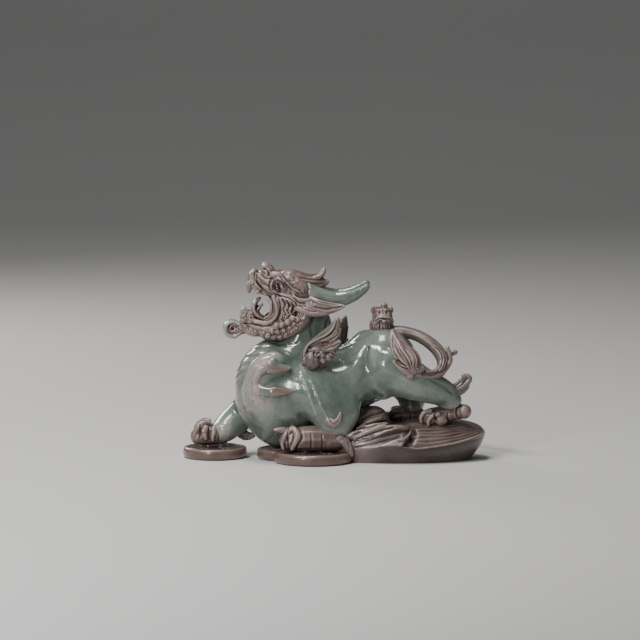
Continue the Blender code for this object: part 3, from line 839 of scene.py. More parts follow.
@dataclass(frozen=True)
class FloorPaint(Finish):
    """The studio's plain pale paint."""

    colour: Colour = (0.62, 0.61, 0.60)

    def build(self, nodes: Nodes) -> bpy.types.Material:
        """Writes the paint's nodes."""
        tone = nodes.blend(nodes.fit(nodes.noise(9.0), 0.2, 0.8, 0.0, 0.06), self.colour, (0.5, 0.5, 0.5))
        nodes.feed(nodes.shader, {"Base Color": tone, "Roughness": 0.7})
        return nodes.material


GLAZE = CrackleGlaze("crackle_glaze", "celadon_glaze")
CLAY = BareClay("bare_clay", "violet_clay")
FLAME_GLAZE = CrackleGlaze(
    "thin_glaze_over_clay",
    "violet_clay",
    thin=(0.400, 0.310, 0.285),
    clay=(0.235, 0.135, 0.102),
)
# Darker, redder clay for the coins; its darkest side colour is painted shade at the foot of each coin's
# side.
COIN_CLAY = BareClay(
    "coin_clay",
    "violet_clay",
    shade=(0.062, 0.034, 0.028),
    body=(0.130, 0.078, 0.066),
    painted_highlight=(0.330, 0.240, 0.210),
    bare_clay_and_shade=(0.100, 0.046, 0.032),
    satin=0.30,
    sheen=0.6,
)
SHADED_CLAY = BareClay(
    "shaded_clay",
    "violet_clay",
    shade=(0.060, 0.038, 0.033),
    body=(0.125, 0.087, 0.077),
    painted_highlight=(0.320, 0.250, 0.228),
    bare_clay_and_shade=(0.110, 0.042, 0.026),
)
# Its near-black side colour is painted shade on the ingot's steep sides; its pale colour is a painted
# highlight.
INGOT_CLAY = BareClay(
    "folded_ingot_clay",
    "ingot_clay",
    shade=(0.075, 0.046, 0.038),
    body=(0.185, 0.132, 0.117),
    painted_highlight=(0.380, 0.300, 0.270),
    bare_clay_and_shade=(0.040, 0.018, 0.011),
    satin=0.32,
    sheen=0.6,
)
PELLET = PelletGlaze("pellet_glaze", "dark_glaze")


# --- Glazed body ----------------------------------------------------------------------------------


@dataclass
class GlazedBody:
    """Torso, neck and legs, which run into each other under one coat of glaze."""

    voxel: float = 0.8
    glaze_coat: float = 0.5
    plate_bands: int = 5
    plate_foot: float = 50.0
    plate_step: float = 5.4
    plate_half_width: float = 10.5
    ripple_size: float = 22.0
    ripple_height: float = 0.14

    def build(self) -> None:
        """Models and fires the body."""
        clay = Clay(
            "glazed_body",
            "torso",
            "front_leg_left",
            "front_leg_right",
            "hind_leg_left",
            "hind_leg_right",
            "chest_plate",
            "spine_ridge",
        )
        self.fill(clay)
        clay.skin(self.voxel, smoothing=24, swell=self.glaze_coat)
        clay.melt((-75, -60, 28), (34, 60, 110), fade=10.0, steps=110)
        clay.melt((-44, -60, 14), (28, -10, 66), fade=6.0, steps=90)
        clay.melt((24, -60, 26), (64, 60, 60), fade=8.0, steps=40)
        clay.co += clay.normal * self.glaze_coat
        self.model_plate(clay)
        self.model_foreleg(clay)
        self.model_muscles(clay)
        clay.ripple(self.ripple_size, self.ripple_height, seed=4)
        clay.fire(GLAZE, scale=0.5, reach=24)

    def fill(self, clay: Clay) -> None:
        """Fills the casting's hollow, and the corners between torso and legs."""
        clay.lump((-33, 0, 42), (28, 26, 28))
        clay.lump((-37, 0, 36), (23, 21, 28.5))
        clay.lump((-38, 0, 54), (24, 18, 22))
        clay.lump((31, 0, 64), (17, 21, 20))
        clay.roll(
            (-33, 0, 43, 24, 23), (-14, 0, 44.5, 20, 18), (5, 0, 50, 18, 17), (20, 0, 57, 18, 18),
            (31, 0, 64, 19, 19),
        )
        clay.roll(
            (-30, 0, 52, 19, 19), (-24, 0, 70, 13, 12.5), (-19.5, 0, 84, 12, 11), (-20, 0, 94, 11, 11)
        )
        clay.roll((-12, 0, 72, 7, 9), (-8, 0, 82, 6, 8.6), (-8.4, 0, 92, 5.6, 8.6))
        clay.roll(
            (-42, 0, 74.6, 5, 8), (-49, 0, 68.6, 6, 10), (-55.4, 0, 60, 7, 12), (-58, 0, 48, 7.4, 13),
            (-56, 0, 35, 7, 12),
        )
        for side in (-1, 1):
            clay.roll(
                (-30, 15, 50, 15, 12), (-8, 18, 47, 15, 9), (10, 17, 51, 12, 8), (24, 16, 57, 11, 8),
                side=side,
            )
            clay.roll((34, 12, 66, 13, 9), (40, 14, 58, 12, 8), (50, 15, 50, 9, 8), side=side)
            clay.roll((16, 15, 62, 10, 7), (22, 16, 52, 9, 7), (32, 15, 48, 9, 7), side=side)
            clay.roll(
                (-38, 21, 66, 8, 6), (-47, 19.6, 60, 10, 6), (-51, 17.6, 48, 10, 6), (-49, 17.2, 37, 9, 6),
                side=side,
            )
        clay.roll(
            (-22, 20, 48, 13, 11), (-8, 23, 38, 14, 9), (-2, 24, 29, 13, 8.6), (-2, 24.6, 23, 11, 8),
            side=-1,
        )
        clay.roll((-18, 23, 53, 7, 6), (-11, 27, 42, 9, 6.6), (-6, 28.4, 32, 9, 5.4), side=-1)
        clay.roll(
            (4, 18, 44, 13, 10), (7, 21, 35, 10, 9), (5.6, 22.6, 27, 8, 8), (4, 23.6, 22, 6.4, 7), side=-1
        )
        clay.roll(
            (-52, 15, 36, 11, 10), (-64, 10.6, 24.6, 9.4, 9), (-71.6, 5.6, 18.6, 8.2, 9.4),
            (-74.6, 3, 16.4, 7.2, 10),
        )

    def model_plate(self, clay: Clay) -> None:
        """The chest plate's overlapping bands."""
        for k in range(self.plate_bands):
            height = self.plate_foot + self.plate_step * k
            half = self.plate_half_width * (
                0.72 + 0.28 * math.sin(math.pi * (k + 1) / (self.plate_bands + 1))
            )
            groove = [
                (-half, height + 2.6),
                (-half / 2, height + 0.4),
                (0, height - 0.4),
                (half / 2, height + 0.4),
                (half, height + 2.6),
            ]
            clay.line(groove, 1.6, -0.28, View.FRONT, taper=0.1)
            clay.line([(y, z + 2.0) for y, z in groove], 2.0, 0.22, View.FRONT, taper=0.1)
        # Thin glaze over clay, pale pink on the chest round the shoulder flames; along the chest's front
        # edge it is partly a painted sheen.
        clay.mark("thin", [(-60, 64), (-63, 52), (-62, 40), (-58, 30)], 8.0, amount=0.5)
        clay.mark("thin", [(-45, 64), (-52, 57), (-53, 45), (-47, 36)], 11.5, amount=1.0)

    def model_foreleg(self, clay: Clay) -> None:
        """The beaded fringe of hair down the front of each foreleg."""
        front = [(-22.5, 55.5), (-20, 49), (-17.6, 43), (-15, 35.5), (-12.6, 28)]
        back = [(-16.6, 52), (-14, 46.4), (-11, 38.5), (-7.6, 31), (-5, 26)]
        clay.line(front, 1.5, 0.4, taper=0.3)
        clay.line(back, 1.3, 0.35, taper=0.3)
        for path, size in ((front, 1.15), (back, 0.95)):
            for x, z in smooth_path(path, 3)[1::2]:
                clay.dot((x, z), size, 0.5)
        clay.line([(-31, 42), (-28, 34), (-23, 26)], 6.0, -0.5)

    def model_muscles(self, clay: Clay) -> None:
        """The folds and swells of neck, haunches and hocks."""
        clay.line([(21, 72), (19, 62), (18.8, 52), (22, 44), (30, 40)], 9.0, -1.1, taper=0.7)
        clay.line([(-44, 77), (-38, 74.6), (-30, 74), (-24, 76)], 2.0, -0.4)
        clay.line([(-5, 92), (-6.4, 86), (-5.6, 80)], 1.4, -0.9)
        clay.line([(-15, 93), (-16.6, 86), (-15, 79)], 2.0, -0.4)
        clay.line([(62, 51), (70, 47), (76, 42)], 2.5, -0.5)
        clay.line([(4, 0), (12, 0), (20, 0)], 1.6, 0.9, View.TOP)
        clay.line([(4, 2.6), (12, 2.6), (20, 2.6)], 1.0, -0.5, View.TOP)
        clay.line([(4, -2.6), (12, -2.6), (20, -2.6)], 1.0, -0.5, View.TOP)
        clay.dot((2, 0), 4.6, -3.0, View.BELOW)


@dataclass
class ShoulderFlames:
    """The flames on the shoulders: a curl with two bare tongues, under a thin glaze."""

    # How far each tongue lies below the first, and behind it.
    tongues: tuple[tuple[float, float], ...] = ((0.0, 0.0), (14.6, 1.0))

    def build(self) -> None:
        """Models and fires both flames."""
        for side, name, view in SIDES:
            clay = Clay(f"shoulder_flame_{name}")
            clay.roll((-54, 17.5, 43, 2, 3), (-54.5, 16, 36, 2.2, 3), (-53, 14.5, 29, 1, 2), side=side)
            clay.roll(
                (-50, 20, 41, 2.6, 4), (-46, 22.5, 40, 2.4, 4), (-43.5, 23.5, 37.5, 1.6, 2), side=side
            )
            for drop, back in self.tongues:
                tongue = [
                    (-45, 22, 61, 3.0, 3.4), (-40.5, 24, 61, 4.1, 3.6), (-35.5, 25, 60.6, 3.2, 2.8),
                    (-30.4, 25, 60, 0.8, 1),
                ]
                clay.roll(
                    *[(x + back, y + 0.12 * drop, z - drop, a, b) for x, y, z, a, b in tongue], side=side
                )
            clay.skin(0.5, smoothing=7, swell=0.3)
            clay.curl((-49, 58.6), 2.6, 0.7, view, turns=1.5, start=0)
            clay.curl((-50.6, 42.4), 2.2, 0.7, view, turns=-1.5, start=60)
            clay.curl((-44.6, 41.6), 1.6, 0.6, view, turns=1.4, start=200)
            clay.curl((-43.6, 56.4), 1.6, 0.6, view, turns=1.3, start=120)
            clay.dot((-53.4, 38.4), 1.6, 0.5, view)
            for drop, back in self.tongues:
                middle = [(-43 + back, 59 - drop), (-38 + back, 58.4 - drop), (-31.4 + back, 57.4 - drop)]
                clay.mark("bare_clay_and_shade", middle, 3.9, view)
                clay.line([(x, z + 0.6) for x, z in middle], 1.2, -0.35, view)
            clay.line([(-48, 64), (-52.5, 58), (-54.5, 49), (-53.5, 40)], 0.9, -0.45, view)
            clay.line([(-46, 54), (-48.5, 50.5), (-45, 48.5)], 1.0, -0.6, view)
            clay.mark("thin", [(-47, 64), (-52, 57), (-53, 46), (-51, 38)], 7.0, view)
            clay.fire(FLAME_GLAZE, scale=0.5)


# --- Head -----------------------------------------------------------------------------------------


@dataclass
class Head:
    """The thrown-back head with its crest, ears, horns, manes, jaw and beard."""

    voxel: float = 0.42
    ruff_curl: float = 2.3
    ruff_reach: float = 16.0
    ruff_narrows: float = 7.6

    def build(self) -> None:
        """Models and fires the head's pieces."""
        self.build_skull()
        self.build_jaw()
        self.build_crest()
        self.build_beard()
        self.build_mouth()
        for side, name, view in SIDES:
            self.build_mane(side, name, view)
            self.build_ear(side, name, view)
            self.build_horn(name, view)
            self.build_eye(side, name)

    def build_skull(self) -> None:
        """Cranium and upper jaw."""
        clay = Clay("skull")
        for side in (-1, 1):
            self.roll_face(clay, side)
        clay.skin(self.voxel, smoothing=4, swell=0.1)
        clay.line([(-50.6, -8, 123.4), (-50.6, 0, 125.2), (-50.6, 8, 123.4)], 2.6, -2.0, None, taper=0.2)
        clay.line([(-47.4, 124.4), (-45.2, 123.6), (-43.6, 121.6), (-43.8, 119.6)], 1.1, -1.2)
        clay.line([(-48.4, 120.4), (-46, 118.4), (-43.4, 117.6), (-41.2, 118.6)], 1.2, -0.7)
        clay.line([(-50.6, 118), (-47, 114.6), (-43.5, 112.5)], 2.4, -0.8)
        clay.line([(-53.6, 123), (-53.8, 118.5), (-51.5, 113.5), (-48, 109.8), (-43.5, 106.3)], 1.1, 1.0)
        clay.line([(-51.4, 121), (-51, 116), (-48.2, 112), (-44.6, 108.8), (-41.2, 106.4)], 0.9, -0.8)
        for place in ((-50.8, 109.2), (-49.2, 108), (-47.6, 107), (-55.2, 116.4), (-54.2, 114.6)):
            clay.dot(place, 1.0, 0.9)
        clay.dot((-38.3, 112.8), 3.1, -1.5)
        clay.line([(-41, 109.6), (-41.8, 113.4), (-40.2, 117), (-37.4, 118.4), (-35, 116.8)], 1.2, 1.4)
        clay.line([(-42.8, 110), (-43.4, 114), (-42, 118)], 0.9, -0.8)
        clay.line([(-40.4, 109.5), (-37, 108.2), (-33, 107), (-29.5, 105.8)], 0.9, 0.9)
        clay.line([(-39, 107.4), (-34, 105.6), (-29, 104.2), (-25.5, 101.4)], 0.9, -1.0)
        lashes = [
            [
                (-35.2 + 1.5 * k, 116.2 - 1.1 * k),
                (-33.4 + 1.5 * k, 112.6 - 0.6 * k),
                (-31.2 + 1.4 * k, 109.2 - 0.6 * k),
            ]
            for k in range(3)
        ]
        clay.lines(lashes, 0.75, -0.8)
        clay.line([(-34.5, 118.3), (-31, 114.6), (-27.4, 111), (-22, 108.8)], 1.2, 0.8)
        clay.curl((-28.2, 117.6), 2.0, 0.8, turns=1.4, start=200)
        clay.curl((-24.9, 116.2), 1.5, 0.6, turns=-1.2, start=30)
        clay.curl((-26.6, 112.6), 1.4, 0.5, turns=1.2, start=90)
        clay.line(
            [(-30, 108.6), (-26, 104.2), (-23.6, 102), (-17, 101.8), (-14.8, 103.8), (-14.6, 107)],
            1.2,
            -1.2,
        )
        clay.line([(-28, 106.8), (-24, 104.4), (-18, 103.8), (-16.2, 105.6), (-16.6, 108.6)], 0.9, 0.8)
        clay.lines([[(-24.5, 111), (-21, 107.5)], [(-20.5, 113), (-19.5, 107.5)]], 0.8, -0.5)
        self.draw_fur(clay)
        clay.fire(CLAY)

    def build_jaw(self) -> None:
        """The lower jaw with its lip and gum ridge."""
        clay = Clay("lower_jaw")
        for side in (-1, 1):
            clay.roll(
                (-42, 10, 90.4, 1.5, 1.8), (-47, 9.8, 89.6, 1.6, 1.8), (-52, 8.6, 90.5, 1.6, 1.8), side=side
            )
            clay.roll(
                (-60.4, 3, 85, 2.2, 3), (-60, 4, 89.6, 2.8, 3), (-59.2, 4.6, 93.4, 3, 3),
                (-58.8, 4.8, 95.6, 2.2, 2.2),
                side=side,
            )
            clay.roll(
                (-55.4, 6, 89.6, 2.6, 2.4), (-55.4, 6.2, 93, 2.4, 2.4), (-55.8, 6, 95.6, 1.6, 1.6),
                side=side,
            )
            clay.roll(
                (-60, 3.6, 86.4, 2.4, 2.6), (-56.6, 6.2, 84.4, 2.4, 2.2), (-52, 7.6, 83.2, 2.2, 2),
                side=side,
            )
            for x, z in ((-58.6, 86.4), (-55.6, 84.6), (-52.2, 83.6), (-49, 83)):
                clay.lump((x, 8.4 - 0.25 * (-49 - x), z + 0.8), (2.0, 1.6, 1.9), side)
        clay.lump((-52, 0, 83.8), (8, 8.5, 4.2))
        clay.skin(self.voxel, smoothing=3, swell=0.1)
        clay.dot((-54.8, 92.2), 1.2, -1.4)
        clay.line([(-57.5, 91), (-56.6, 94.6), (-53.6, 94.8), (-52.4, 92), (-54.4, 89.8)], 0.8, 0.7)
        for k, place in enumerate(((-58.6, 86), (-55.4, 84.4), (-52, 83.4), (-48.8, 83))):
            clay.curl(place, 1.6, 0.7, turns=1.2, start=80 * k)
        clay.line([(-60.5, 88.6), (-52, 87.4), (-46, 86.6)], 0.9, -0.9)
        clay.line([(-62.4, 93), (-60.6, 91.4), (-58.8, 93)], 0.7, -0.7)
        clay.fire(CLAY)

    def build_mouth(self) -> None:
        """Tongue and fangs."""
        tongue = Clay("tongue")
        tongue.roll(
            (-42, 0, 90.8, 1.6, 6), (-48, 0, 92, 1.8, 6), (-52.4, 0, 95.4, 2.4, 5.6),
            (-53.3, 0, 99.4, 2.1, 4.8), (-51.8, 0, 103, 1.6, 3.6), (-49.6, 0, 104.8, 1.1, 2.8),
        )
        tongue.skin(0.45, smoothing=3, swell=0.05)
        tongue.line([(-44, 0), (-52, 0)], 0.9, -0.6, View.TOP)
        tongue.line([(-55, 97.4), (-54, 100.6), (-51.4, 103.6)], 0.7, 0.5)
        tongue.line([(-51.4, 95.6), (-51.6, 99.6), (-50.4, 102.6)], 1.0, -0.7)
        tongue.fire(CLAY)
        for side, name, view in SIDES:
            for place in ("upper", "lower"):
                fang = Clay(f"{place}_fang_{name}")
                fang.skin(0.3, smoothing=3, swell=0.4 if place == "upper" else 0.8)
                if place == "lower":
                    fang.scaled((-59.4, 5 * side, 95), (1.0, 1.0, 0.72))
                else:
                    fang.scaled((-54.6, 6 * side, 117.5), (0.95, 1.0, 0.76))
                    fang.line([(-54.4, 115.5), (-55.4, 112.6), (-55.9, 110.4)], 0.6, -0.35, view)
                fang.fire(CLAY)

    def build_crest(self) -> None:
        """The smooth bulge of the forehead, swept back into a flame."""
        clay = Clay("crest")
        clay.roll((-11, 0, 119, 2.6, 5), (-8.2, 0, 121.5, 1.8, 3.5), (-7.2, 0, 124.6, 0.8, 1.6))
        clay.roll((-12, 0, 115, 2.6, 5), (-7.5, 0, 115.4, 2, 3.4), (-4.8, 0, 116.4, 0.9, 1.6))
        clay.lump((-8, 0, 112.8), (1.4, 2.2, 1.3))
        clay.lump((-30, 0, 118), (7.6, 8.4, 6.4))
        clay.skin(self.voxel, smoothing=6, swell=0.15)
        clay.line([(-26, 119.4), (-18, 117.6), (-11, 117), (-8, 118.4)], 0.9, -0.5)
        clay.line([(-12, 121), (-9.6, 122.4), (-8, 124.6)], 0.7, 0.4)
        clay.line([(-17, 114.4), (-10, 114.4), (-6, 115.4)], 0.8, -0.4)
        clay.mark("glazed", [(-14, 111.6), (-9, 112.6)], 2.6, amount=0.8)
        clay.fire(CLAY)

    def build_beard(self) -> None:
        """The chin's beard, rolled into a scroll whose rim the glaze has run over."""
        clay = Clay("chin_beard")
        clay.roll(
            (-60, 0, 87, 2.0, 5), (-64, 0, 87.8, 1.9, 5), (-68, 0, 89.2, 2, 5), (-71.6, 0, 86.6, 2, 5),
            (-71, 0, 82, 2, 5), (-67, 0, 80.2, 2, 5),
        )
        clay.roll((-67, 0, 80.2, 2, 5), (-61, 0, 81.6, 2.4, 5.6), (-54, 0, 82, 2.6, 6))
        for x, z in ((-62.6, 84.6), (-58.6, 83.4), (-54.6, 82.6)):
            clay.lump((x, -4.4, z), (2.3, 2.0, 2.3))
            clay.lump((x, 4.4, z), (2.3, 2.0, 2.3))
        clay.skin(0.45, smoothing=3, swell=0.1)
        root = np.clip((clay.co[:, 0] + 65) / 5, 0, 1)
        clay.co[:, 2] += 2.6 * root * np.clip((86 - clay.co[:, 2]) / 4, 0, 1)
        clay.settle()
        clay.dot((-67.4, 85), 1.7, -2.6)
        clay.dot((-63, 84.4), 1.3, -2.0)
        clay.line(spiral((-67.4, 85), 3.9, 1.0, 0), 0.8, -0.9)
        for k, place in enumerate(((-62.4, 85.6), (-58.4, 84.4), (-54.4, 84))):
            clay.curl(place, 1.7, 0.7, turns=1.3, start=90 * k)
        angles = [math.radians(a) for a in range(40, 330, 20)]
        rim = [(-67.2 + 5.4 * math.cos(a), 84.7 + 5.0 * math.sin(a)) for a in angles]
        clay.mark("glazed", rim, 2.2)
        clay.mark("glazed", [(-62, 79.6), (-57, 79.6)], 1.2)
        clay.fire(CLAY, scale=0.5)

    def build_mane(self, side: int, name: str, view: View) -> None:
        """One cheek's ruff, ending in rows of tight curls."""
        clay = Clay(f"mane_{name}")
        rows = (
            [
                (-20.8, 91.4), (-22.8, 88), (-25.4, 85), (-28.6, 82.6), (-32.2, 80.8), (-36, 79.8),
                (-40, 79.8), (-43.8, 80.6), (-47.2, 82),
            ],
            [(-24.4, 91), (-26.8, 88), (-29.8, 85.6), (-33.4, 84), (-37.4, 83.2), (-41.4, 83.4)],
            [(-28, 91.4), (-31, 89), (-34.6, 87.2), (-38.4, 86.6)],
        )
        for row, places in enumerate(rows):
            for k, (x, z) in enumerate(places):
                reach = self.ruff_reach + 0.3 * row - self.ruff_narrows * (k / 8) ** 1.4
                clay.lump((x, reach, z + LOOK_DOWN * reach), (self.ruff_curl,) * 3, side)
        clay.roll((-20.5, 14, 101, 2, 2), (-20.4, 15, 96, 2, 2.2), (-20.4, 15.4, 92.5, 1.6, 2), side=side)
        clay.skin(self.voxel, smoothing=3, swell=0.1)
        for row, places in enumerate(rows):
            for k, place in enumerate(places):
                size = 1.6 + 0.25 * ((k * 5 + row) % 3 - 1)
                turns = 1.3 if (k + row) % 2 else -1.3
                clay.curl(place, size, 0.8, view, turns=turns, start=47 * k)
        clay.lines(
            [[(-24.4 + 1.5 * k, 98), (-23.6 + 1.5 * k, 95), (-24.5 + 1.3 * k, 92)] for k in range(3)],
            0.7,
            -0.7,
            view,
        )
        clay.fire(CLAY)

    def build_ear(self, side: int, name: str, view: View) -> None:
        """One ear: a long leaf folded at its root."""
        clay = Clay(f"ear_{name}")
        clay.roll(
            (-25, 13.5, 100, 2.2, 2), (-19, 15.5, 98, 2.8, 2), (-12.5, 16.5, 96.8, 2.4, 1.8),
            (-6, 17, 97, 1.6, 1.4),
            side=side,
        )
        clay.roll(
            (-16, 14, 106.5, 1.4, 1.4), (-11, 16.6, 104.4, 1.6, 1.4), (-4, 17.4, 102.8, 1.5, 1.2),
            (5.6, 18.4, 101.8, 0.9, 0.9),
            side=side,
        )
        clay.roll((-14, 16, 101, 3.2, 1.6), (-6, 17, 99.6, 3.4, 1.6), (1, 17.6, 100.6, 2.2, 1.3), side=side)
        clay.skin(0.42, smoothing=5, swell=0.15)
        clay.line([(-14, 99.4), (-6, 97.8), (1, 98.6), (4.5, 99.4)], 1.5, -0.8, view)
        clay.line([(-22, 98.6), (-17, 96.6), (-12, 96)], 0.9, -0.6, view)
        clay.line([(-12, 103), (-4, 101.4), (3, 100.6)], 0.8, -0.4, view)
        clay.fire(CLAY)

    def build_horn(self, name: str, view: View) -> None:
        """One smooth horn."""
        clay = Clay(f"horn_{name}")
        clay.skin(0.55, smoothing=8, swell=0.45)
        for drop in (0.0, 1.9, 3.8):
            clay.line(
                [(-12, 108 - drop), (-2, 105.6 - drop), (8, 106.4 - drop * 0.8), (16, 110.5 - drop * 0.4)],
                0.9,
                -0.22,
                view,
            )
        clay.mark("thin", [(-19, 109), (-15, 107)], 4.5, view, amount=0.8)
        clay.fire(GLAZE, scale=2.2, reach=30)

    def build_eye(self, side: int, name: str) -> None:
        """One eye's pellet, on side -1 for the left or 1 for the right."""
        clay = Clay(f"eye_{name}")
        clay.lump((-38.2, 10.6, 113.9), (1.9, 2.0, 1.9), side)
        clay.skin(0.25, smoothing=3, swell=0.0)
        clay.fire(PELLET)

    def roll_face(self, clay: Clay, side: int) -> None:
        """One side's brow, nostril, cheek and the rings round the mouth's corner.

        Args:
            clay: The skull.
            side: -1 for the left, 1 for the right.
        """
        clay.roll(
            (-40.5, 10, 121.5, 2.4, 2.2), (-36.5, 11, 121, 2.2, 2), (-34, 11.8, 118, 1.6, 1.6), side=side
        )
        clay.roll(
            (-46.8, 4.6, 124, 1.6, 2.6), (-46.2, 4.8, 126.6, 1.9, 2.6), (-43.4, 4.8, 125, 2.2, 2.6),
            (-41, 5, 121.6, 2, 2.4),
            side=side,
        )
        clay.roll(
            (-54.4, 3, 118, 1.4, 3.4), (-53.8, 3, 122.4, 1.5, 3.4), (-52.4, 3, 123.4, 1.2, 3), side=side
        )
        clay.roll(
            (-34, 11, 108, 2.6, 3), (-28, 13, 105.5, 3, 3), (-22, 13.5, 103.5, 3, 3),
            (-16, 13, 105, 1.8, 2),
            side=side,
        )
        clay.roll((-36, 10, 105, 4, 3.4), (-32, 11, 98, 5, 3.4), (-31, 11, 91, 4.6, 3.2), side=side)
        clay.roll(
            (-54.5, 4.5, 121, 1.6, 1.6), (-54.3, 6.2, 116, 1.8, 1.8), (-50.5, 7.5, 110.5, 1.8, 1.8),
            side=side,
        )
        outer = [
            (-40.4, 10.6, 107, 1.4, 1.8), (-38.4, 11.8, 101, 1.5, 2), (-38.4, 12, 96, 1.5, 2),
            (-41.4, 11.4, 91.4, 1.5, 1.9), (-47, 9.8, 89, 1.3, 1.6),
        ]
        clay.roll(*outer, side=side)
        inner = [
            (-44.4, 8.6, 106, 1.2, 1.6), (-41.6, 9.8, 102.6, 1.4, 1.8), (-40.9, 10.2, 98.4, 1.5, 1.9),
            (-42, 10.2, 94.8, 1.5, 1.9), (-45.6, 9.2, 92.4, 1.4, 1.7),
        ]
        clay.roll(*inner, side=side)

    def draw_fur(self, clay: Clay) -> None:
        """The cheeks' soft locks between the mouth's corner and the ruff."""
        for k in range(4):
            x = -34.6 + 2.8 * k
            z = 104.2 - 0.9 * k
            lock = [(x, z), (x + 1.9, z - 3.4), (x + 0.6, z - 6.8), (x + 2.2, z - 9.8), (x + 0.2, z - 13)]
            clay.line(lock, 1.0, -0.55)
            clay.line([(a + 1.3, b) for a, b in lock], 1.0, 0.45)
        for k, place in enumerate(
            (
                (-33.6, 92.6), (-29.6, 94.2), (-26.4, 97), (-31.2, 98.4), (-28, 100.6), (-35.6, 89.4),
                (-24.6, 93.4),
            )
        ):
            clay.curl(place, 1.7, 0.75, turns=1.3, start=70 * k)
        clay.line([(-27, 102), (-24.8, 98.4), (-22.8, 93.4), (-22, 90.6)], 1.2, 0.9)
        clay.line([(-37.4, 105.5), (-36.2, 101), (-36, 96), (-38.4, 91), (-43, 88)], 0.9, -1.0)
        clay.line([(-41.2, 104), (-41, 99), (-41.6, 95), (-44.6, 91.8), (-48, 90.6)], 0.8, -0.9)


# --- Wings ----------------------------------------------------------------------------------------


@dataclass
class Wings:
    """The two short wings, each with a rolled leading edge and fanned feathers."""

    voxel: float = 0.42

    def build(self) -> None:
        """Models and fires both wings."""
        for side, name, view in SIDES:
            self.build_wing(side, name, view)

    def build_wing(self, side: int, name: str, view: View) -> None:
        """One wing."""
        clay = Clay(f"wing_{name}", origin=(5.0, 0.0, -6.0) if side > 0 else (0.0, 0.0, 0.0))
        edge = [
            (-20.4, 20.5, 65), (-20, 22, 72), (-16.8, 23.8, 77.6), (-11, 25.4, 81.4), (-5.6, 27.2, 84.2),
            (-1.8, 29, 88.6), (0.6, 30.6, 94.6),
        ]
        clay.roll(*[(*place, 1.6 - 0.1 * k, 2.0 - 0.13 * k) for k, place in enumerate(edge)], side=side)
        feathers = (
            [(-7, 28.2, 82, 2.0, 1.4), (-1.6, 29.6, 86.4, 2.0, 1.5), (1.2, 31, 92.8, 1, 1)],
            [(-8, 27.8, 78.6, 2.2, 1.4), (-1.4, 29.4, 82, 2.3, 1.6), (2.8, 30.6, 88, 1.2, 1.2)],
            [(-8, 27, 74.6, 2.2, 1.4), (-2, 28.6, 76.2, 2.6, 1.6), (2.8, 29.8, 80, 1.3, 1.2)],
        )
        for feather in feathers:
            clay.roll(*feather, side=side)
        for x, z, size in ((-2.4, 71, 3.0), (-4.4, 67.2, 2.2), (-8, 65.6, 2.0), (-8.6, 69.4, 2.4)):
            clay.lump((x, 26.4, z + 1.6), (size, size * 0.9, size), side)
        clay.lump((-15, 23.4, 67), (5.6, 4.2, 6.2), side)
        clay.skin(self.voxel, smoothing=4, swell=0.1)
        clay.line([(-17, 72.4), (-12.5, 74), (-5, 75.6)], 3.6, -1.6, view)
        clay.lines(
            [
                [(-11, 77.6), (-5, 80.4), (-0.6, 84.6), (0.7, 90)],
                [(-10, 75), (-4, 77.4), (1, 80.6), (2.4, 84.4)],
                [(-7, 71.6), (-2, 73), (2, 75.4)],
                [(-6, 69), (-3, 69), (0.4, 67.4)],
            ],
            0.9,
            -0.8,
            view,
        )
        clay.curl((-11.6, 68), 2.6, 0.9, view, turns=1.2, start=150)
        clay.line([(-13.6, 70.4), (-13.6, 66), (-14.4, 62.6)], 0.8, -0.6, view)
        clay.mark(
            "glazed",
            [(place[0] - 0.3, place[2] - LOOK_DOWN * place[1]) for place in edge],
            1.3,
            view,
            amount=0.6,
        )
        clay.line(
            [(-18.8, 68), (-17.6, 72.4), (-14, 75.8), (-9, 78), (-4, 80.6), (-0.6, 85)], 0.8, -0.9, view
        )
        # Painted shade in the groove under the leading edge.
        clay.mark("bare_clay_and_shade", [(-16, 72.6), (-11, 74.4), (-4, 76.6)], 3.4, view, amount=0.8)
        clay.fire(SHADED_CLAY)


# --- Paws, flames and scroll ----------------------------------------------------------------------


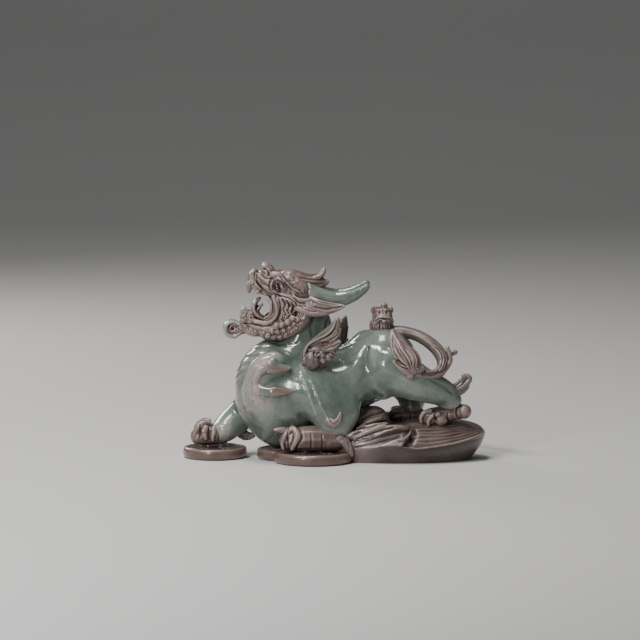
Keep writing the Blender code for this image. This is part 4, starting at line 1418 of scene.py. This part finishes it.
@dataclass
class Paws:
    """The four clawed paws and the curls of flame above them."""

    voxel: float = 0.45

    def build(self) -> None:
        """Models and fires the paws, then the flames."""
        self.build_front_left()
        self.build_front_right()
        self.build_hind_left()
        self.build_hind_right()
        self.build_flames()

    def build_front_left(self) -> None:
        """The drawn-back left forepaw, lying on its coin."""
        clay = Clay("paw_front_left")
        clay.roll((-30, -28, 20.5, 2.6, 2.4), (-35, -29, 21.8, 2.1, 2), (-39.4, -29.5, 22, 1, 1))
        clay.roll(
            (-28, -29, 23, 1.8, 2), (-32.4, -31.6, 19, 1.7, 1.8), (-34.4, -32, 13.4, 1.3, 1.4),
            (-34, -32, 9.4, 0.8, 0.9),
        )
        clay.roll(
            (-27, -30, 22.4, 2, 2), (-24.6, -33.4, 18.6, 2.2, 1.8), (-26.4, -34.4, 13.6, 1.8, 1.5),
            (-28.4, -34, 9.6, 1, 1),
        )
        for x, z, size in ((-19.6, 14.4, 4.6), (-12.4, 14.6, 5.0), (-5, 14.8, 5.0)):
            clay.lump((x, -29.0, z), (size, 4.2, size * 1.15))
        clay.skin(self.voxel, smoothing=6, swell=0.1)
        near = View.LEFT
        clay.lines(
            [
                [(-30.4, 19.6), (-31.2, 14), (-30.6, 7)],
                [(-22.4, 17.6), (-21.8, 13), (-24.4, 9), (-25.6, 5.6)],
            ],
            1.1,
            -0.8,
            near,
        )
        clay.lines(
            [[(-16, 16), (-15.8, 11), (-16.2, 5.6)], [(-8.8, 15.6), (-8.6, 10.6), (-9, 5.6)]],
            1.3,
            -0.5,
            near,
        )
        clay.line([(-28, 17.4), (-27.6, 13), (-29.4, 8.6)], 0.8, -0.6, near)
        clay.line([(-34, 18.6), (-36.5, 17.4), (-38.6, 18.2)], 0.6, -0.4, near)
        clay.fire(CLAY)

    def build_front_right(self) -> None:
        """The right forepaw, reaching forward and closed like a fist on its coin."""
        clay = Clay("paw_front_right")
        clay.lump((-86, 1.5, 17.4), (6.6, 8.2, 6.6))
        clay.lump((-78.6, -2.4, 15.4), (3.0, 4.6, 4.6))
        toes = (
            [
                (-83, -2, 23, 1.8, 1.8), (-87.4, -4, 22.6, 2, 2), (-91, -4.4, 18.6, 2, 2),
                (-92, -4, 14.4, 1.3, 1.4), (-91.4, -3.8, 12, 0.7, 0.8),
            ],
            [
                (-79.6, -5.4, 20, 1.5, 1.5), (-79.8, -7, 16.6, 1.5, 1.5), (-80.4, -7.4, 13.4, 1.0, 1.1),
                (-80, -7.2, 11.6, 0.6, 0.7),
            ],
            [(-85, -5.2, 20, 1.9, 1.9), (-85.8, -6.8, 16.6, 1.9, 1.7), (-85, -7, 13, 1.1, 1.1)],
        )
        for toe in toes:
            clay.roll(*toe)
            clay.roll(*[(x, 5.6 - y, z, a, b) for x, y, z, a, b in toe])
        clay.skin(self.voxel, smoothing=4, swell=0.05)
        clay.lines(
            [[(-88.6, 22), (-88.6, 17), (-89.4, 12)], [(-82.4, 21.4), (-82.8, 16), (-82.6, 11.6)]],
            0.9,
            -0.8,
        )
        clay.curl((-86.2, 17.6), 2.2, 0.5, turns=1.2, start=140)
        clay.fire(CLAY)

    def build_hind_left(self) -> None:
        """The left hind paw, its toes curled over the ingot."""
        clay = Clay("paw_hind_left")
        clay.lump((84.4, -11.6, 31.6), (4.6, 5, 4.8))
        clay.lump((61.6, -14.4, 28.4), (5.6, 5, 5.2))
        clay.lump((69, -15.2, 27.2), (4.6, 4.6, 4.4))
        clay.roll(
            (62, -17.6, 33, 1.5, 1.5), (58, -18.4, 32, 1.4, 1.4), (55.8, -18.4, 28.6, 1.2, 1.2),
            (56, -18.2, 25.4, 0.7, 0.8),
        )
        clay.roll(
            (67, -18.6, 30.8, 1.5, 1.5), (63, -19.6, 29.6, 1.4, 1.4), (60.6, -19.6, 26.4, 1.2, 1.2),
            (60.8, -19.2, 23.6, 0.7, 0.8),
        )
        clay.skin(self.voxel, smoothing=4, swell=0.1)
        near = View.LEFT
        clay.lines(
            [
                [(79.6, 33), (79, 29.4), (80.2, 25.6)],
                [(65.8, 30.6), (64.8, 27.6), (66.6, 23.4)],
                [(73.4, 30), (73, 26.6), (74.4, 24)],
            ],
            1.1,
            -0.9,
            near,
        )
        clay.line([(60, 30), (64, 29.6)], 0.8, 0.4, near)
        clay.fire(CLAY)

    def build_hind_right(self) -> None:
        """The right hind paw."""
        clay = Clay("paw_hind_right")
        for y in (15.5, 20.5, 25.5):
            clay.roll(
                (44, y, 28.6, 2.4, 2.2),
                (38, y, 28, 2.2, 2.2),
                (34.4, y, 24.2, 1.6, 1.6),
                (34, y, 20.6, 0.8, 0.9),
            )
        clay.skin(self.voxel, smoothing=3, swell=0.1)
        clay.lines([[(44, y), (38, y), (33, y)] for y in (18, 23)], 1.0, -1.0, View.TOP)
        clay.lines([[(50, 28), (49, 23), (50, 19)], [(44, 27), (43, 23), (44, 19)]], 0.8, -0.8)
        clay.fire(CLAY)

    def build_flames(self) -> None:
        """The curls at elbows and hocks, and the scroll of cloud by the ingot."""
        clay = Clay("elbow_flame_left")
        clay.skin(0.4, smoothing=5, swell=0.25)
        clay.scaled((3.2, -33, 33), (0.84, 1.0, 0.86))
        clay.line([(-4.6, 27.4), (-1.6, 22.6), (2.4, 25.4), (2.6, 29)], 0.9, -0.5, View.LEFT)
        clay.fire(CLAY)

        clay = Clay("hock_flame_left")
        clay.roll(
            (78, -11.5, 46, 2, 2), (83, -12, 48.4, 2, 1.8), (87.4, -11.6, 51.6, 1.6, 1.6),
            (87.4, -11, 54.4, 1.6, 1.6), (84, -10.6, 55, 1.8, 1.6),
        )
        clay.roll((77, -11, 47.5, 2, 2), (81, -11, 50.6, 1.8, 1.8), (84.6, -10.6, 54.6, 1.4, 1.4))
        clay.skin(0.4, smoothing=3, swell=0.1)
        clay.lines(
            [[(77, 44.6), (82, 47.4), (85.6, 51.6)], [(77, 46.4), (81.4, 49.4), (84, 52.6)]],
            0.7,
            -0.7,
            View.LEFT,
        )
        clay.fire(SHADED_CLAY)

        for name, curl_at in (("elbow_flame_right", (-59, 12)), ("hock_flame_right", (60, 43))):
            clay = Clay(name)
            clay.skin(0.4, smoothing=3, swell=0.2)
            clay.line(spiral(curl_at, 2.4, 1.2, 30), 0.7, -0.7)
            clay.fire(SHADED_CLAY)

        clay = Clay("cloud_scroll")
        clay.lump((3.2, -31.6, 16.2), (2.5, 2.2, 2.5))
        clay.skin(0.42, smoothing=4, swell=0.1)
        clay.line(spiral((3.4, 12.6), 2.0, 1.3, 0), 0.7, -0.6, View.LEFT)
        clay.lines([[(7.4, 13), (8.6, 9), (8.6, 4)]], 0.8, -0.4, View.LEFT)
        clay.fire(CLAY)


# --- Tail and cub ---------------------------------------------------------------------------------


@dataclass
class Tail:
    """The looped tail, its spur and the tuft of hair at its end."""

    def build(self) -> None:
        """Models and fires the tail's pieces."""
        tail = Clay("tail")
        tail.roll(
            (73, -14.6, 74, 1.4, 1.6), (74.6, -15, 69.6, 1.4, 1.6), (75, -15.4, 65, 1.5, 1.6),
            (72.6, -17.6, 60.4, 1.3, 1.5),
        )
        tail.lump((56, -26.2, 61.6), (2, 2, 2))
        tail.lump((53.2, -27.2, 61), (2.4, 2.2, 2.4))
        tail.skin(0.5, smoothing=5, swell=0.15)
        for side_step in (0.0, 1.7, 3.4):
            bend = [(71.6 - side_step, 70.6), (73.4 - side_step, 64), (70.6 - side_step, 57.6)]
            end = [(64, 54.6 + side_step * 0.5), (56, 53.8 + side_step * 0.5)]
            tail.line([(66 - side_step, 77.4 - side_step), *bend, *end], 0.7, -0.6)
        tail.curl((53.4, 59), 1.9, 0.8, View.LEFT)
        tail.mark("glazed", [(35, 82), (42, 82)], 6.0, amount=0.6)
        tail.fire(SHADED_CLAY)

        spur = Clay("tail_spur")
        spur.lump((77.4, -10.2, 70.2), (1.9, 1.8, 1.8))
        spur.roll((70, -12, 68.6, 2.4, 2.2), (74, -11, 69.4, 1.8, 1.8))
        spur.skin(0.35, smoothing=3, swell=0.15)
        spur.fire(SHADED_CLAY)

        tuft = Clay("tail_tuft")
        strands = (
            [
                (50, -28.6, 60, 2.2, 2), (45, -28.4, 65, 2.6, 2), (39.6, -25.6, 71.4, 2.4, 1.8),
                (36.8, -20, 79, 1.6, 1.4), (36.6, -15.4, 84.6, 0.8, 0.8),
            ],
            [
                (50.4, -28.6, 60, 2.2, 2), (48, -28.6, 67, 2.4, 1.8), (43, -25, 74.6, 2, 1.6),
                (39, -19, 81, 1.2, 1.2), (37.6, -15.6, 84.4, 0.7, 0.8),
            ],
            [
                (51, -28.4, 60, 2.2, 2), (51.4, -27.4, 67.4, 2.2, 1.8), (47.4, -24.6, 73.6, 1.8, 1.6),
                (42.6, -21.4, 77.6, 1, 1),
            ],
            [
                (53, -27.4, 61, 2, 2), (54, -25.6, 67, 1.8, 1.6), (51, -23.6, 73, 1.4, 1.4),
                (46, -22, 76.4, 0.8, 0.8),
            ],
            [(49, -28.6, 58.6, 2.2, 2), (43.6, -29, 61.4, 2.2, 1.8), (38.4, -28.4, 66.4, 1.2, 1.2)],
        )
        for strand in strands:
            tuft.roll(*strand)
        tuft.lump((48.4, -28.6, 57.8), (2.8, 2.2, 2.6))
        tuft.skin(0.42, smoothing=3, swell=0.1)
        near = View.LEFT
        tuft.lines(
            [
                [(48, 58), (42.6, 63), (38, 70), (37.2, 78)],
                [(49, 58.6), (46.6, 64.6), (41.6, 71.6), (38.6, 78.6)],
                [(50, 59), (49.6, 65), (46, 70.6), (42, 74.4)],
                [(51.6, 60), (52, 65), (49, 70.6), (45, 73.6)],
                [(47, 58.4), (42, 60.6), (38.4, 63.6)],
                [(49.6, 61), (48, 66.6), (44, 71.6)],
            ],
            0.7,
            -0.9,
            near,
        )
        tuft.line([(46, 60.6), (41, 63.4), (37.4, 66)], 1.2, -1.6, near)
        tuft.fire(CLAY)


@dataclass
class Cub:
    """The cub that peers out of its mane on the rump."""

    voxel: float = 0.32

    def build(self) -> None:
        """Models and fires head and mane."""
        head = Clay("cub_head")
        head.lump((31, -4, 95), (6, 4.6, 4.6))
        for x in (25.4, 35.8):
            head.lump((x, -1.6, 98), (1.9, 1.8, 2.1))
        head.lump((31.8, -1.5, 100), (2.2, 2.4, 1.9))
        head.roll(
            (26.6, -6.6, 92.6, 1.3, 1.3), (28.6, -8, 94.6, 1.3, 1.3), (32, -8.4, 95, 1.3, 1.3),
            (35, -7.6, 94, 1.3, 1.3), (36.8, -5.4, 92.4, 1.2, 1.2),
        )
        head.lump((31.8, -8.6, 93.2), (1.4, 1.3, 1.1))
        head.lump((35.6, -4.6, 93.6), (1.8, 2.4, 1.8))
        head.skin(self.voxel, smoothing=3, swell=0.1)
        head.scaled((30.4, -2, 100.4), (1.04, 1.04, 1.3))
        near = View.LEFT
        head.line([(25.8, 89.6), (28.8, 91.4), (32, 91.2), (35.6, 91), (37.2, 88.8)], 0.8, -1.2, near)
        for x in (28.6, 33.8):
            head.dot((x, 95.4), 1.3, -1.1, near)
            head.dot((x, 95.2), 0.6, 0.5, near)
            head.line([(x - 2, 96.4), (x, 97.4), (x + 2, 96.6)], 0.8, 0.8, near)
            head.curl((x - 0.6, 98.8), 1.1, 0.5, near)
        head.line([(31.2, 97.6), (31.4, 94)], 0.6, -0.5, near)
        head.lines([[(25, 98.8), (25.6, 96.6)], [(35.6, 98.8), (36, 96.4)]], 0.6, -0.6, near)
        head.fire(CLAY)

        mane = Clay("cub_mane")
        for k in range(9):
            angle = math.radians(190 + 20 * k)
            x = 30.2 + 6.4 * math.cos(angle)
            y = -0.4 + 6.2 * math.sin(angle)
            swell = (x + 0.5 * math.cos(angle), y + 0.7 * math.sin(angle), 88.4, 1.25, 1.25)
            mane.roll((x, y, 92, 1.2, 1.2), swell, (x, y + 0.3 * math.sin(angle), 85, 0.9, 0.9))
        mane.roll((24.4, -2, 95, 1.2, 1.4), (23.6, -2.6, 91, 1.2, 1.4), (24, -2.4, 86.6, 1, 1.2))
        mane.skin(self.voxel, smoothing=3, swell=0.1)
        mane.scaled((30.4, 0, 84), (1.0, 1.0, 0.62))
        mane.lines(
            [[(25.4 + 1.9 * k, 89), (25.2 + 1.9 * k, 86.4), (25.4 + 1.9 * k, 83.6)] for k in range(7)],
            0.55,
            -0.7,
            near,
        )
        mane.fire(CLAY)


# --- Coins and ingot ------------------------------------------------------------------------------


# Half of a coin's section, from its middle out, up and back: shares of its radius and height.
COIN_SECTION = (
    (0.0, 0.0), (0.93, 0.0), (0.985, 0.16), (1.0, 0.45), (0.995, 0.72), (0.965, 0.93), (0.92, 1.0),
    (0.86, 0.98), (0.835, 0.9), (0.8, 0.88), (0.77, 0.9), (0.755, 0.96), (0.73, 0.97), (0.71, 0.9),
    (0.0, 0.88),
)


@dataclass
class Coins:
    """The three thick coins: turned rims, a square hole and dots in relief."""

    relief: float = 0.55
    hole_depth: float = 2.0
    hole_share: float = 0.2
    cluster_share: float = 0.47
    cluster_size: float = 0.12
    turn_steps: int = 96

    def build(self) -> None:
        """Turns, models and fires the coins."""
        self.build_coin("coin_front_left", (-14.5, -22.0), 26.0, 0.0)
        self.build_coin("coin_front_right", (-79.0, 2.0), 21.0, 0.0)
        self.build_coin("coin_middle", (-32.0, -4.0), 19.5, -0.25)

    def build_coin(self, name: str, centre: tuple[float, float], radius: float, lift: float) -> None:
        """One coin.

        Args:
            name: Its node, and its piece's name.
            centre: Its centre on the drawing.
            radius: Its radius.
            lift: How much higher or lower than the node its face is.
        """
        top = (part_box(name)[1][2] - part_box(name)[0][2]) / MM + lift
        bm = bmesh.new()
        verts = [bm.verts.new((centre[0] + radius * r, centre[1], top * h)) for r, h in COIN_SECTION]
        edges = [bm.edges.new(pair) for pair in zip(verts, verts[1:])]
        bmesh.ops.spin(
            bm,
            geom=verts + edges,
            cent=(*centre, 0),
            axis=(0, 0, 1),
            angle=2 * math.pi,
            steps=self.turn_steps,
            use_merge=True,
        )
        bmesh.ops.remove_doubles(bm, verts=bm.verts, dist=0.001)
        clay = Clay(name, turned=True)
        mesh = bpy.data.meshes.new("coin")
        bm.to_mesh(mesh)
        bm.free()
        clay.rough.from_mesh(mesh)
        bpy.data.meshes.remove(mesh)
        clay.skin(0.55, smoothing=1, swell=0.0)
        self.model_face(clay, centre, radius)
        clay.ripple(16.0, 0.06, seed=len(name))
        # Painted shade round the foot of the coin's side.
        angles = np.linspace(0, 2 * math.pi, 40)
        side = [(centre[0] + radius * math.cos(a), centre[1] + radius * math.sin(a), 1.6) for a in angles]
        clay.mark("bare_clay_and_shade", side, 4.6, None, amount=0.55)
        clay.fire(COIN_CLAY, scale=0.4)

    def model_face(self, clay: Clay, centre: tuple[float, float], radius: float) -> None:
        """The relief on a coin's upper face.

        Args:
            clay: The coin.
            centre: Its centre.
            radius: Its radius.
        """
        x, y = centre
        half = radius * self.hole_share
        square = [
            (x - half, y - half),
            (x + half, y - half),
            (x + half, y + half),
            (x - half, y + half),
            (x - half, y - half),
        ]
        for start, end in zip(square, square[1:]):
            clay.line([start, end], 1.3, self.relief, View.TOP, taper=0.0)
        clay.dot((x, y), half * 0.9, -self.hole_depth, View.TOP)
        for k in range(4):
            angle = math.radians(45 + 90 * k)
            away = radius * self.cluster_share
            middle = (x + away * math.cos(angle), y + away * math.sin(angle))
            for j in range(7):
                turn = math.radians(60 * j)
                reach = 0.0 if j == 6 else radius * self.cluster_size
                bead = (middle[0] + reach * math.cos(turn), middle[1] + reach * math.sin(turn))
                clay.dot(bead, 1.25, 0.9, View.TOP)


@dataclass
class Ingot:
    """The boat-shaped ingot, its dome folded like drapery and its wing finely ribbed."""

    centre: tuple[float, float] = (43.5, -2.0)
    rim: tuple[float, float] = (55.5, 33.5)
    rim_level: float = 9.9
    tip_rise: float = 8.0
    petal_level: float = 13.0
    petal_end: float = 49.0
    petal_blend: float = 7.0
    far_drop: float = 5.0
    far_from: float = 8.0
    far_blend: float = 10.0
    lip: float = 1.0
    wing_from: float = 50.0
    rib_spacing: float = 2.4
    rib_depth: float = 0.6

    def rim_point(self, degrees: float, lift: float = 0.0) -> tuple[float, float, float]:
        """A place on the rim.

        Args:
            degrees: Its bearing from the dome's middle; 0 is the tip and -90 the near side.
            lift: How far above the rim it is.

        Returns:
            The place in space.
        """
        angle = math.radians(degrees)
        x = self.centre[0] + self.rim[0] * math.cos(angle)
        y = self.centre[1] + self.rim[1] * math.sin(angle)
        wing = self.rim_level + self.tip_rise * max(math.cos(angle), 0.0) ** 2
        petal = min(max((self.petal_end - x) / self.petal_blend, 0.0), 1.0)
        level = wing + (self.petal_level - wing) * petal * petal * (3 - 2 * petal)
        far = min(max((y - self.far_from) / self.far_blend, 0.0), 1.0)
        return x, y, level + lift - self.far_drop * far

    def build(self) -> None:
        """Models and fires the ingot."""
        clay = Clay("ingot")
        lip = [
            (*self.rim_point(degrees), self.lip * (0.5 + 0.5 * min(abs(degrees) / 40, 1)), self.lip * 0.8)
            for degrees in range(-88, -4, 7)
        ]
        clay.roll(*lip, normal=(0, 0, 1))
        clay.roll(
            (8, -25, 17, 3, 3), (22, -27.5, 19.5, 3.4, 3), (35, -27.5, 21.6, 3.4, 3),
            (44, -25, 22, 2.6, 2.4), (48, -21, 21, 1.4, 1.6),
        )
        clay.roll((16, -21, 19.6, 2.6, 2.4), (25, -23, 23, 2.4, 2.2), (33.6, -22, 24.4, 1.6, 1.6))
        clay.skin(0.7, smoothing=3, swell=0.05)
        under = [self.rim_point(degrees, -2.4) for degrees in range(-95, 100, 5)]
        clay.line(under, 1.6, -0.5, None, taper=0.0)
        clay.settle()
        self.model_wing(clay)
        self.model_folds(clay)
        # Painted shade: the steep sides from the dome to the wing's tip get the finish's darkest colour.
        steep = np.clip((0.38 - clay.normal[:, 2]) / 0.25, 0, 1)
        wing = np.clip((clay.co[:, 0] - 14) / 20, 0, 1)
        clay.marks["bare_clay_and_shade"] = steep * wing
        clay.fire(INGOT_CLAY, scale=0.6, reach=20)

    def model_folds(self, clay: Clay) -> None:
        """The folds over the dome and the petal before it."""
        near = View.LEFT
        clay.line([(12, 12.4), (18, 15.8), (25, 19), (33.6, 22.2)], 1.7, 1.5, near)
        clay.line([(12, 15.4), (18, 19), (25, 22), (33, 24.4)], 1.9, -1.7, near)
        clay.line([(14, 19), (22, 23.6), (30, 26.4)], 2.2, 1.0, near)
        clay.line([(17, 25), (24, 28.6), (31, 30)], 2.2, -0.9, near)
        clay.line([(35.6, 34), (37, 29), (36.4, 24.4)], 2.0, -1.4, near)
        clay.line([(13, 10), (22, 12.6), (30, 16), (40, 18.8), (47.6, 19)], 1.6, 1.1, near)
        clay.line([(13, 12.4), (22, 15), (30, 18.2), (38, 20.4)], 1.3, -1.1, near)
        clay.line([(13, 7), (24, 9), (34, 12), (42, 14.4)], 2.4, -1.1, near)
        clay.line([(50, 14.5), (48, 10.6), (44.6, 8.4)], 4.2, -2.2, near)
        clay.line([(49.4, 18.6), (48, 15.4), (45, 12.6), (40, 11.6)], 1.5, 1.3, near)
        clay.line([(52.4, 18), (51.6, 14), (49, 10.6)], 2.2, -1.1, near)
        clay.curl((17.4, 31), 2.2, 0.8, near, turns=1.2)

    def model_wing(self, clay: Clay) -> None:
        """Fine ribs on the wing, which follow its front rim."""
        x, y, _ = clay.co.T
        along = np.clip((x - self.centre[0]) / self.rim[0], -1, 1)
        inward = y - (self.centre[1] - self.rim[1] * np.sqrt(1 - along**2))
        on_top = np.clip(3 * (clay.normal[:, 2] - 0.25), 0, 1) * np.clip((x - self.wing_from) / 4, 0, 1)
        fade = np.clip((inward - 1.8) / 1.5, 0, 1)
        wander = 0.6 * np.sin(x / 9.0) + 0.3 * np.sin(x / 3.7 + inward)
        rib = np.abs(np.sin(math.pi * (inward + wander) / self.rib_spacing)) ** 0.6
        clay.co += clay.normal * (self.rib_depth * (rib - 0.7) * on_top * fade)[:, None]
        clay.settle()


# --- Studio ---------------------------------------------------------------------------------------


@dataclass(frozen=True)
class SoftBox:
    """One lamp: where it hangs from the statue's middle, its size, power and colour."""

    name: str
    offset: tuple[float, float, float]
    size: tuple[float, float]
    power: float
    colour: Colour

    def hang(self, middle: Vector) -> None:
        """Hangs the lamp and turns it to the statue's middle."""
        data = bpy.data.lights.new(self.name, "AREA")
        data.shape = "RECTANGLE"
        data.size, data.size_y = self.size
        data.energy = self.power
        data.color = self.colour
        lamp = bpy.data.objects.new(self.name, data)
        lamp.location = middle + Vector(self.offset)
        lamp.rotation_euler = (-Vector(self.offset)).to_track_quat("-Z", "Y").to_euler()
        bpy.context.scene.collection.objects.link(lamp)


SOFT_BOXES = (
    SoftBox("key", (-0.55, -0.50, 0.90), (0.55, 0.10), 8.5, (1.0, 0.98, 0.95)),
    SoftBox("front", (-0.50, -0.95, 0.40), (0.06, 0.40), 3.2, (0.98, 0.98, 1.0)),
    SoftBox("top", (-0.15, 0.0, 1.05), (0.45, 0.30), 6.5, (1.0, 1.0, 1.0)),
    SoftBox("rim", (-0.55, 0.80, 0.45), (0.30, 0.30), 3.5, (1.0, 0.97, 0.94)),
)
FLOOR_SECTION = ((-6.0, 0.0), (1.6, 0.0), (2.2, 0.12), (2.6, 0.5), (2.75, 1.1), (2.8, 2.6))


@dataclass
class Studio:
    """Floor, lights and camera."""

    field_width: float = 0.4183
    lens: float = 350.0
    sensor: float = 36.0
    elevation: float = 6.5
    aim: tuple[float, float] = (-0.00915, 0.0273)
    farthest: float = 20.0
    floor_width: float = 7.0
    room_colour: Colour = (0.75, 0.78, 0.8)
    room_strength: float = 0.10

    def build(self) -> None:
        """Sets up the studio round the statue."""
        low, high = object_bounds()
        middle = (Vector(low) + Vector(high)) / 2
        self.lay_floor(low[2])
        for box in SOFT_BOXES:
            box.hang(middle)
        self.light_room()
        self.set_camera(middle)

    def lay_floor(self, height: float) -> None:
        """A pale floor that curves up far behind the statue.

        Args:
            height: The floor's level.
        """
        bm = bmesh.new()
        verts = [bm.verts.new((-self.floor_width / 2, y, height + z)) for y, z in FLOOR_SECTION]
        edges = [bm.edges.new(pair) for pair in zip(verts, verts[1:])]
        made = bmesh.ops.extrude_edge_only(bm, edges=edges)
        moved = [item for item in made["geom"] if isinstance(item, bmesh.types.BMVert)]
        bmesh.ops.translate(bm, verts=moved, vec=(self.floor_width, 0.0, 0.0))
        bmesh.ops.recalc_face_normals(bm, faces=bm.faces)
        mesh = bpy.data.meshes.new("floor")
        bm.to_mesh(mesh)
        bm.free()
        mesh.materials.append(FloorPaint("floor_paint", "").material())
        for face in mesh.polygons:
            face.use_smooth = True
        floor = bpy.data.objects.new("floor", mesh)
        bpy.context.scene.collection.objects.link(floor)
        floor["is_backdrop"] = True

    def light_room(self) -> None:
        """A dim, even room."""
        world = bpy.data.worlds.new("room")
        world.use_nodes = True
        background = world.node_tree.nodes["Background"]
        background.inputs["Color"].default_value = (*self.room_colour, 1.0)
        background.inputs["Strength"].default_value = self.room_strength
        bpy.context.scene.world = world

    def set_camera(self, middle: Vector) -> None:
        """A long lens, a little above the statue and turned towards its middle."""
        data = bpy.data.cameras.new("camera")
        data.lens = self.lens
        data.sensor_width = self.sensor
        data.clip_end = self.farthest
        camera = bpy.data.objects.new("camera", data)
        bpy.context.scene.collection.objects.link(camera)
        distance = self.field_width * self.lens / self.sensor
        tilt = math.radians(self.elevation)
        back = Vector((0.0, -math.cos(tilt), math.sin(tilt)))
        target = middle + Vector((self.aim[0], 0.0, self.aim[1]))
        camera.location = target + back * distance
        camera.rotation_euler = (-back).to_track_quat("-Z", "Y").to_euler()
        bpy.context.scene.camera = camera


def main() -> None:
    """Builds the statue over the frame, then the studio."""
    logging.basicConfig(level=logging.INFO, format="%(message)s")
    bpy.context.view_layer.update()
    for assembly in (
        GlazedBody(), ShoulderFlames(), Head(), Wings(), Paws(), Tail(), Cub(), Coins(), Ingot()
    ):
        LOG.info("building %s", type(assembly).__name__)
        assembly.build()
    Studio().build()


if __name__ == "__main__":
    main()
